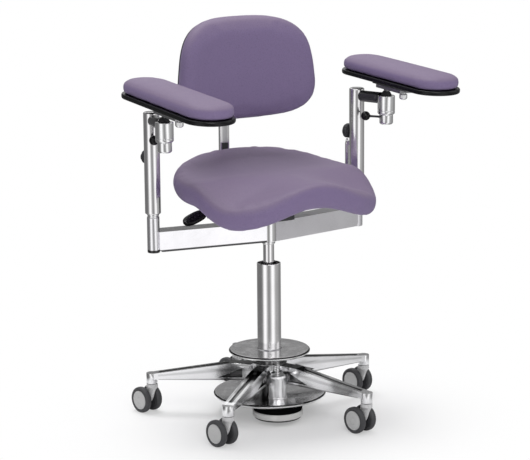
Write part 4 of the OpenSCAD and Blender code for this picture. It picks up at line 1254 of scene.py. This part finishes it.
        knob = fluted(self.named("clamp_grip"), profile, 140, flute, at, 45)
        dress(knob, BLACK, self.named("clamp_knob"), self.named("clamp_knob"))
        self.lathe("clamp_grip_screw", TURNED, "clamp_knob", [(0, 11.1), (4, 11.1), (4, 19)], at, 32)

    def make_barrel(self) -> None:
        """The barrel with its seam, the cup, the ball lever and the dome."""
        barrel = [(8.05, -43.5), (17.4, -43.5, 0.5), (20, -41, 2), (20, -36.2, 0.35), (19.2, -35.8, 0.3),
                  (19.2, -34.8, 0.3), (20, -34.4, 0.35), (20, -1.2, 1.2), (18.8, 0, 0.8), (8.05, 0)]
        self.lathe("barrel", TURNED, "arm", barrel, self.barrel, 96, "arm_barrel")
        cup = [(0, -66.5), (12.8, -66.5, 1), (15.8, -63.6, 2.4), (15.8, -44.8, 0.6), (14.9, -43.6, 0.5),
               (8, -43.6), (8, -37.6), (0, -37.6)]
        self.lathe("cup", TURNED, "clamp_lever", cup, self.barrel, 80, "clamp_lever")
        at = self.barrel @ shift(0, 0, -50.5) @ spin("Z", 90 + self.lever_turn) @ spin("Y", 85)
        rod = [(3.1, 12), (3.1, 16.4, 0.4), (2.6, 17, 0.3), (2.5, 30, 1), (2.7, 36), (3.6, 39.5)]
        self.lathe("lever_rod", BLACK, "clamp_lever", rod, at, 32)
        ball = [(self.ball_r * math.sin(a), self.ball_far - self.ball_r * math.cos(a))
                for a in (k * math.pi / 28 for k in range(29))]
        self.lathe("lever_ball", BLACK_GLOSS, "clamp_lever", ball, at, 56)
        dome = [(0, -14), (8, -14), (8, 0), (12.5, 0.2, 0.3), (12.5, 1.4, 0.6), (11.2, 4.2, 2), (8.4, 8.6, 2),
                (7.4, 9.8, 0.6), (4.1, 10, 0.3), (4.1, 1.2), (0, 1.2)]
        self.lathe("dome", BLACK, "dome", dome, self.barrel, 72)
        repaint(BLACK, self.named("ball_dome"))

    def make_rail(self) -> None:
        """Dresses the rail and makes the knurled chrome knob under it."""
        repaint(DARK_STEEL, self.named("pad_rail"), edge=0.7)
        at = self.carried @ shift(0, self.rail_knob_y, self.rail_up)
        profile = [(3, -0.4), (5.6, -0.4, 0.3), (5.6, -2.4, 0.3), (8.2, -3.2, 0.6), (9.2, -4.4, 0.6),
                   (9.2, -11.4, 0.8), (8.0, -14.2, 1.4), (4.2, -16.1, 1.6), (0.6, -16.3)]

        def knurl(a: float, r: float, _: float) -> float:
            """Thirty fine grooves round the rim."""
            return 0.35 * (0.5 + 0.5 * math.cos(a * 30)) if r > 9.0 else 0.0

        knob = fluted(self.named("rail_grip"), profile, 120, knurl, at, 50)
        dress(knob, TURNED, self.named("rail_knob"), self.named("rail_knob"))
        self.lathe("rail_screw", TURNED, "rail_knob", [(3, -0.6), (3, 8.4, 0.3), (0, 8.4)], at, 32)

    def stadium(self, inset: float, z: float, arc: int = 36, straight: int = 24) -> list[Point]:
        """A ring of the pad's outline.

        Args:
            inset: How far it lies inside the plate's outline.
            z: Its height over the barrel.
            arc: Steps to a rounded end.
            straight: Steps along a side.

        Returns:
            The ring in metres.
        """
        r, half = self.width / 2 - inset, self.length / 2 - self.width / 2
        out = []
        for end in (1, -1):
            for a in ((0 if end > 0 else math.pi) + math.pi * i / arc for i in range(arc)):
                out.append((r * math.cos(a) * MM, (end * half + r * math.sin(a)) * MM, z * MM))
            out += [(-end * r * MM, end * half * (1 - 2 * i / straight) * MM, z * MM)
                    for i in range(straight)]
        return out

    def make_pad(self) -> None:
        """The rimmed base plate, its slide block and its cushion."""
        at = self.carried @ shift(0, -self.ahead, 0)
        z0 = self.rail_up + self.rail_t + self.block
        top = z0 + self.plate
        profile = fillet([(60, z0 + 1.2), (6, z0, 1), (1.2, z0 + 0.4, 2), (0, z0 + 3, 2), (0, z0 + 7.6, 2),
                          (1.6, top, 1.6), (5, top, 0.8), (60, top - 0.5)])
        rings = [self.stadium(min(inset, self.width / 2 - 4), z) for inset, z in profile]
        plate = lofted(self.named("plate"), rings, at, 50)
        dress(plate, BLACK_GLOSS, self.named("pad"), self.named("pad_plate"))
        middle = self.ahead - 38.5
        outline = fillet_loop(box_outline(22, middle - 65, middle + 65, 3))
        block = slab(self.named("slide_block"), outline, z0 - self.block, z0 + 2, at, 0.8)
        dress(block, ENAMEL, self.named("pad"))
        low, reach = top + 0.3, self.width / 2 - self.pad_inset
        shares = [(0.9, 0.0), (0.5, 0.0), (0.16, 0.0), (0.05, 0.1), (0.022, 0.28), (0.02, 0.48), (0.04, 0.66),
                  (0.1, 0.79), (0.2, 0.865), (0.36, 0.925), (0.55, 0.97), (0.78, 1.0), (0.93, 1.0)]

        def ring(share: float, height: float) -> list[Point]:
            """A ring of the cushion at a share of its half width inwards and of its height."""
            flat = self.stadium(self.pad_inset + share * reach, low + height * self.pad)
            return [tuple(at @ Vector(p)) for p in flat]

        back = at.inverted()
        Cushion(self.named("pad_upholstery"), self.named("pad_cushion"), self.named("pad"),
                [ring(*place) for place in smooth_line(shares, 2)],
                lambda p: ease(((back @ p).z - (low + self.glued) * MM) / self.freed_over), cap=3, voxel=4.5,
                welt=ring(0.13, 0.82), welt_depth=0.7, welt_width=6).build()


@dataclass
class Castor:
    """One twin wheel castor: a moulded fork, two dark shields, two wheels and their discs."""

    number: int
    at: Matrix
    trail: float = 20.8
    axle_z: float = 30
    gap: float = 17.4
    wheel: float = 14.6
    radius: float = 30
    disc: float = 21.6

    @property
    def word(self) -> str:
        """The castor's name, which is its body's too."""
        return f"castor_{self.number}"

    def build(self) -> None:
        """Makes the castor's pieces."""
        self.fork()
        for side, letter in zip(SIDES, "ab"):
            self.wheel_half(side, letter)

    def fork(self) -> None:
        """The grey fork, tapering to the axle, its stem, and the dark shields between the wheels."""
        rings = []
        outline = [(70.3, -12.2, 12.2, 12.2), (69.6, -12.8, 12.8, 12.8), (65, -12.8, 13, 12.6),
                   (61.5, -12.2, 14.5, 11.2), (57, -10, 17.5, 6.8), (50, -6.5, 21, 6.1),
                   (42, -3.5, 24.5, 5.9), (34, 0, 27, 5.8), (27, 5, 27.5, 5.6), (21, 11, 26, 5),
                   (16, 17, 23, 4)]
        for z, x0, x1, half in smooth_line(outline, 3):
            mid, reach = (x0 + x1) / 2, (x1 - x0) / 2
            ring = [superellipse(i * math.tau / 48, 2.0 if z > 64 else 2.6, reach, half) for i in range(48)]
            rings.append([((mid + x) * MM, y * MM, z * MM) for x, y in ring])
        dress(lofted(f"{self.word}_fork", rings, self.at, 40), CASTOR_GREY, self.word)
        stem = [(0, 69), (8.6, 69, 0.2), (8.6, 71.1, 0.3), (5.5, 71.1), (5.5, 89.6, 0.4), (0, 90.2)]
        lathe(f"{self.word}_stem", TURNED, self.word, stem, self.at, 40, f"castor_fork_{self.number}")
        axle = self.at @ shift(self.trail, 0, self.axle_z) @ spin("X", 90)
        shield = [(0, 6.1), (24, 6.1, 0.3), (25, 6.6, 0.4), (25, 7.6, 0.4), (24, 8.1, 0.3), (0, 8.1)]
        shields = [turned(f"shield{side}", [(r, side * z, *corner) for r, z, *corner in shield], axle, 72)
                   for side in SIDES]
        dress(joined(f"{self.word}_shields", shields), BLACK, self.word)
        pin = [(0, -20.3), (4, -20.3, 0.3), (4, 20.3, 0.3), (0, 20.3)]
        lathe(f"{self.word}_axle", TURNED, self.word, pin, axle, 32)

    def wheel_half(self, side: int, letter: str) -> None:
        """One wheel: the tyre and its disc.

        Args:
            side: -1 or 1, the side of the fork.
            letter: The wheel's letter in names.
        """
        at = self.at @ shift(self.trail, side * self.gap / 2, self.axle_z) @ spin("X", -90 * side)
        body, w, r, d = f"{self.word}_wheels", self.wheel, self.radius, self.disc
        tyre = [(d, 0.3), (r - 3.6, 0, 0.6), (r - 0.6, 1.6, 2.2), (r, 4.6, 2), (r, w - 4.8, 2),
                (r - 0.9, w - 1.4, 2.4), (r - 4, w, 1.2), (d + 1, w - 0.2, 0.6), (d + 0.2, w - 1.2, 0.3),
                (d, w - 2)]
        lathe(f"{self.word}_tyre_{letter}", TYRE, body, tyre, at)
        disc = [(4.05, 0), (d, 0), (d, w - 1, 0.4), (d - 1, w - 0.5, 0.5), (d - 3.4, w - 0.6, 0.6),
                (d - 4, w - 1.1, 0.5), (d - 4.8, w - 1.1, 0.5), (d - 5.6, w - 0.5, 0.5), (8.6, w - 0.1, 0.6),
                (8, w - 0.7, 0.4), (7.2, w - 0.7, 0.4), (6.6, w - 0.1, 0.6), (0, w)]
        lathe(f"{self.word}_disc_{letter}", DISC_GREY, body, disc, at,
              node=f"castor_wheels_{self.number}" if side < 0 else "")


@dataclass
class Base:
    """The star base with its castors."""

    stem_r: float = 270
    first: float = 3
    castor_turn: float = 101
    count: int = 5

    def build(self) -> None:
        """Dresses the star base and makes its castors."""
        repaint(CAST, "star_base", edge=1.6)
        for i in range(self.count):
            a = math.radians(self.first + i * 360 / self.count)
            at = shift(self.stem_r * math.cos(a), self.stem_r * math.sin(a), 0) @ spin("Z", self.castor_turn)
            Castor(i + 1, at).build()


@dataclass
class Column:
    """The cover tube, the lift tube and the two foot discs with the brake between them."""

    brake_off: float = 63
    brake_turn: float = 255
    press: float = 8
    upper_r: float = 92.6
    upper_top: float = 154.3
    lower_r: float = 128.5
    lower_top: float = 54.6
    collar_top: float = 79
    disc_t: float = 8.7
    disc_bore: float = 17.05
    spring_low: float = 108
    spring_high: float = 145.6
    spring_turns: int = 8
    spring_r: float = 5.15
    wire: float = 0.85

    @property
    def brake(self) -> Matrix:
        """The brake cylinder's axis."""
        a = math.radians(self.brake_turn)
        return shift(self.brake_off * math.cos(a), self.brake_off * math.sin(a), 0)

    def disc(self, name: str, node: str, body: str, radius: float, top: float, collar: float = 0.0) -> None:
        """One foot disc with a rounded top edge, and a rim of brighter steel over its lower chamfer as a
        painted highlight.

        Args:
            name: The piece's name.
            node: The CAD node that it stands for.
            body: Its body.
            radius: Its radius.
            top: Height of its top.
            collar: Height of the collar on it, or 0.
        """
        low, bore = top - self.disc_t, self.disc_bore
        neck = [(20, top, 0.6), (20, collar, 0.8), (bore, collar)] if collar else [(bore, top)]
        plate = [(bore, low), (radius - 6.4, low, 0.5), (radius - 5.4, low + 0.1, 0.4),
                 (radius - 0.5, low + 3.3, 0.8), (radius, low + 4.4, 0.8), (radius, top - 2.6, 1.6),
                 (radius - 2.6, top, 1.8), (radius - 4.5, top, 0.3), *neck]
        lathe(name, SPUN_DISC, body, plate, None, 160, node)
        # The rim covers the lower chamfer in brighter steel: a painted highlight.
        rim = [(radius - 6.0, low - 0.05, 0.2), (radius - 5.2, low, 0.2), (radius - 0.5, low + 2.9, 0.4),
               (radius + 0.1, low + 3.6, 0.2), (radius + 0.1, low + 5.2, 0.2), (radius - 0.4, low + 5.3)]
        lathe(f"{name}_rim", RIM_HIGHLIGHT, body, rim, None, 160)

    def build(self) -> None:
        """Makes the discs, the tube, the spring and the brake."""
        self.disc("height_disc", "upper_disc", "height_pedal", self.upper_r, self.upper_top)
        self.disc("brake_disc", "lower_disc", "brake", self.lower_r, self.lower_top, self.collar_top)
        tube = [(25, 154.3), (27, 154.3), (27, 353.4, 0.5), (26.4, 354.3, 0.4), (25.4, 354.3, 0.4),
                (25, 353.6, 0.3), (25, 330)]
        lathe("cover", POLISHED, "height_pedal", tube, None, 128, "cover_tube")
        weld = [(27, 156.6), (27.5, 155.2, 0.8), (28.8, 154.3)]
        lathe("cover_weld", DARK_STEEL, "height_pedal", weld, None, 128)
        bush = [(17.1, 332.3), (25, 332.3), (25, 344.3, 0.5), (20, 344.3, 0.8), (17.1, 343)]
        lathe("cover_bush", BLACK, "height_pedal", bush)
        repaint(POLISHED, "guide_column", "lift_tube", "disc_pin", "piston_rod")
        repaint(BLACK, "column_bush", "lift_end_cap")
        self.spring()
        self.cylinder()

    def spring(self) -> None:
        """The return spring round the pin, with closed ends."""
        path = []
        length = self.spring_high - self.spring_low
        steps = 24 * self.spring_turns
        for t in (i / steps for i in range(steps + 1)):
            a = self.spring_turns * math.tau * t
            rise = ease(t * 6) * 0.5 + ease((1 - t) * 6) * -0.5 + 0.5
            z = self.spring_low + self.wire + (length - 2 * self.wire) * (0.08 * rise + 0.92 * t)
            path.append((self.spring_r * math.cos(a), self.spring_r * math.sin(a), z))
        coil = lofted("return_spring", along(path, self.wire, 10), self.brake, 180)
        dress(coil, SPRING, "height_pedal", "disc_spring")
        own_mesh(coil)

    def cylinder(self) -> None:
        """The brake cylinder, and the foot under the lower disc."""
        can = [(0, 54.6), (21.5, 54.6), (21.5, 57, 0.5), (20.9, 57.6, 0.4), (20, 57.8, 0.3), (20, 103, 0.8),
               (16.2, 107.4, 1), (14, 108, 0.8), (6.4, 108, 0.3), (6, 107.2, 0.3), (3.1, 107.2), (3.1, 70)]
        lathe("brake_can", CYLINDER_STEEL, "brake", can, self.brake, 96, "brake_cylinder")
        body = [(0, 28.3), (54.5, 28.3), (54.5, 31, 0.4), (56, 32, 0.6), (56, 44.8, 0.5), (55, 45.6, 0.4),
                (0, 45.6)]
        lathe("foot_body", FOOT_BLACK, "brake", body, self.brake, 128, "brake_foot")
        ring = [(0, 14.3), (55.4, 14.3, 0.8), (57, 16, 1.2), (57, 26.4, 1.2), (55.2, 28.3, 1.2), (0, 28.3)]
        lathe("foot_ring", RING_GREY, "brake", ring, self.brake, 128, "brake_ring")
        sole = [(0, 10.6), (52.6, 10.6, 0.8), (54, 12, 0.8), (54, 14.3), (0, 14.3)]
        lathe("foot_sole", SOLE, "brake", sole, self.brake, 128, "brake_sole")


@dataclass
class Carrier:
    """The hub and the two crossbars with their sockets."""

    low: float = 404.3
    high: float = 448.7
    radius: float = 18
    bore: float = 15

    def build(self) -> None:
        """Dresses the carrier's nodes and makes the sleeve in the bars' corner."""
        repaint(TURNED, "carrier_hub")
        r, low, high = self.radius, self.low, self.high
        sleeve = [(self.bore, low), (r - 0.8, low, 0.3), (r, low + 0.8, 0.5), (r, high - 0.8, 0.5),
                  (r - 0.8, high, 0.3), (self.bore, high)]
        lathe("carrier_sleeve", POLISHED, "carrier", sleeve)
        repaint(BRIGHT_BAR, "right_crossbar", edge=1.4)
        repaint(SATIN_BAR, "left_crossbar", edge=1.4)


# Studio


@dataclass
class Studio:
    """The pale floor, the soft lamps, the surroundings and the camera."""

    camera_turn: float = 238.5
    screens: tuple[tuple[float, float], ...] = (
        (-180, 0.22), (-150, 0.2), (-120, 0.15), (-84, 0.15), (-68, 0.2), (-58, 0.45), (-49, 0.9), (-40, 1.0),
        (-34, 1.0), (-26, 0.85), (-16, 0.42), (-5, 0.25), (5, 0.25), (16, 0.42), (26, 0.85), (34, 1.0),
        (42, 1.0), (50, 0.85), (61, 0.48), (72, 0.34), (84, 0.36), (110, 0.24), (130, 0.2), (152, 0.26),
        (180, 0.22))
    glow: float = 1.12
    floor_r: float = 14
    floor_points: int = 96
    target: Point = (0, 0, 0.45)
    lens: float = 133.11
    camera_at: Point = (-2.26033, -3.69456, 1.32158)
    camera_angles: Point = (78.35593, 0.45553, -31.44751)

    def build(self) -> None:
        """Makes the studio."""
        self.floor()
        self.surroundings()
        self.lamp("key", (-1.2, -3.1, 2.5), 2.0, 40)
        self.lamp("fill", (3.0, -1.6, 1.9), 2.4, 10)
        self.lamp("top", (0.0, 0.9, 4.4), 2.2, 98)
        self.lamp("rear", (1.4, 3.0, 2.4), 2.0, 8)
        self.camera()
        bpy.context.scene.view_settings.view_transform = "Standard"

    def bands(self, recipe: Recipe, x: Val, y: Val) -> Val:
        """The screens and softboxes that stand round the stool, as metal shows them.

        Args:
            recipe: The tree.
            x: First part of a direction from the stool.
            y: Second part of it.

        Returns:
            Their brightness in that direction.
        """
        cos, sin = math.cos(math.radians(self.camera_turn)), math.sin(math.radians(self.camera_turn))
        turn = (y * cos - x * sin).math("ARCTAN2", x * cos + y * sin) / math.tau + 0.5
        ramp = [(0.5 + a / 360, shade) for a, shade in self.screens]
        return recipe.value("ValToRGB", {"ramp": ramp}, {0: turn}) * self.glow

    def floor(self) -> None:
        """A pale floor that fades to white away from the stool."""
        n, r = self.floor_points, self.floor_r
        rim = [(r * math.cos(i * math.tau / n), r * math.sin(i * math.tau / n), 0.0) for i in range(n)]
        floor = mesh_piece("floor", [(0.0, 0.0, 0.0), *rim], [(0, i + 1, (i + 1) % n + 1) for i in range(n)])
        made = bpy.data.materials.new("pale_floor")
        recipe = Recipe(made)
        eye, glossy = recipe.rays()
        x, y, _ = recipe.parts(recipe.place())
        shown = recipe.mix(self.bands(recipe, x, y), WHITE, eye)
        tone = recipe.mix((0.93, 0.93, 0.93), (0.96, 0.96, 0.96), recipe.noise(5, 2))
        matt = {"Base Color": tone, "Roughness": 0.7, "Specular IOR Level": 0.15}
        white = recipe.node("Emission", sockets={"Color": shown, "Strength": 1.0})
        share = (recipe.radius().step(0.15, 0.6) * 0.7 + 0.3) * eye + recipe.radius().step(0.38, 0.7) * glossy
        recipe.show(recipe.node("MixShader", sockets={
            0: share.math("MINIMUM", 1.0), 1: recipe.node("BsdfPrincipled", sockets=matt), 2: white}))
        floor.data.materials.append(made)

    def surroundings(self) -> None:
        """A white room for the camera, with the screens at its sides for the metal."""
        world = bpy.data.worlds.new("studio")
        bpy.context.scene.world = world
        recipe = Recipe(world)
        eye, glossy = recipe.rays()
        x, y, z = recipe.parts(recipe.value("TexCoord", output="Generated"))
        above = recipe.mix(self.bands(recipe, x, y), WHITE, z.step(0.4, 0.75))
        room = recipe.mix((0.27, 0.27, 0.28), (0.52, 0.52, 0.53), z.step(-0.1, 0.9))
        final = recipe.mix(recipe.mix(room, above, glossy), WHITE, eye)
        recipe.show(recipe.node("Background", sockets={"Color": final, "Strength": 1.0}), "OutputWorld")

    def lamp(self, name: str, place: Point, size: float, power: float) -> None:
        """A soft area lamp that faces the stool.

        Args:
            name: The lamp's name.
            place: Its place in metres.
            size: Its side in metres.
            power: Its power in watts.
        """
        data = bpy.data.lights.new(name, "AREA")
        data.shape, data.size, data.energy = "SQUARE", size, power
        lamp = linked(name, data)
        lamp.location = place
        lamp.rotation_euler = (Vector(self.target) - Vector(place)).to_track_quat("-Z", "Y").to_euler()

    def camera(self) -> None:
        """The camera at the photograph's angle."""
        data = bpy.data.cameras.new("camera")
        data.sensor_width, data.lens, data.clip_end = 36.0, self.lens, 60
        camera = linked("camera", data)
        camera.location = COLUMN @ Vector(self.camera_at)
        camera.rotation_euler = [math.radians(a) for a in self.camera_angles]
        bpy.context.scene.camera = camera


def main() -> None:
    """Builds the stool and its studio."""
    logging.basicConfig(level=logging.INFO, format="%(name)s: %(message)s")
    Studio().build()
    Base().build()
    Column().build()
    Carrier().build()
    Seat().build()
    Backrest().build()
    ArmRest(Side.RIGHT, post_low=489.5, turn=9.5, droop=4, ahead=56, lever_turn=0).build()
    ArmRest(Side.LEFT, post_low=501.8, turn=16.7, droop=3, ahead=50, lever_turn=65).build()


if __name__ == "__main__":
    main()
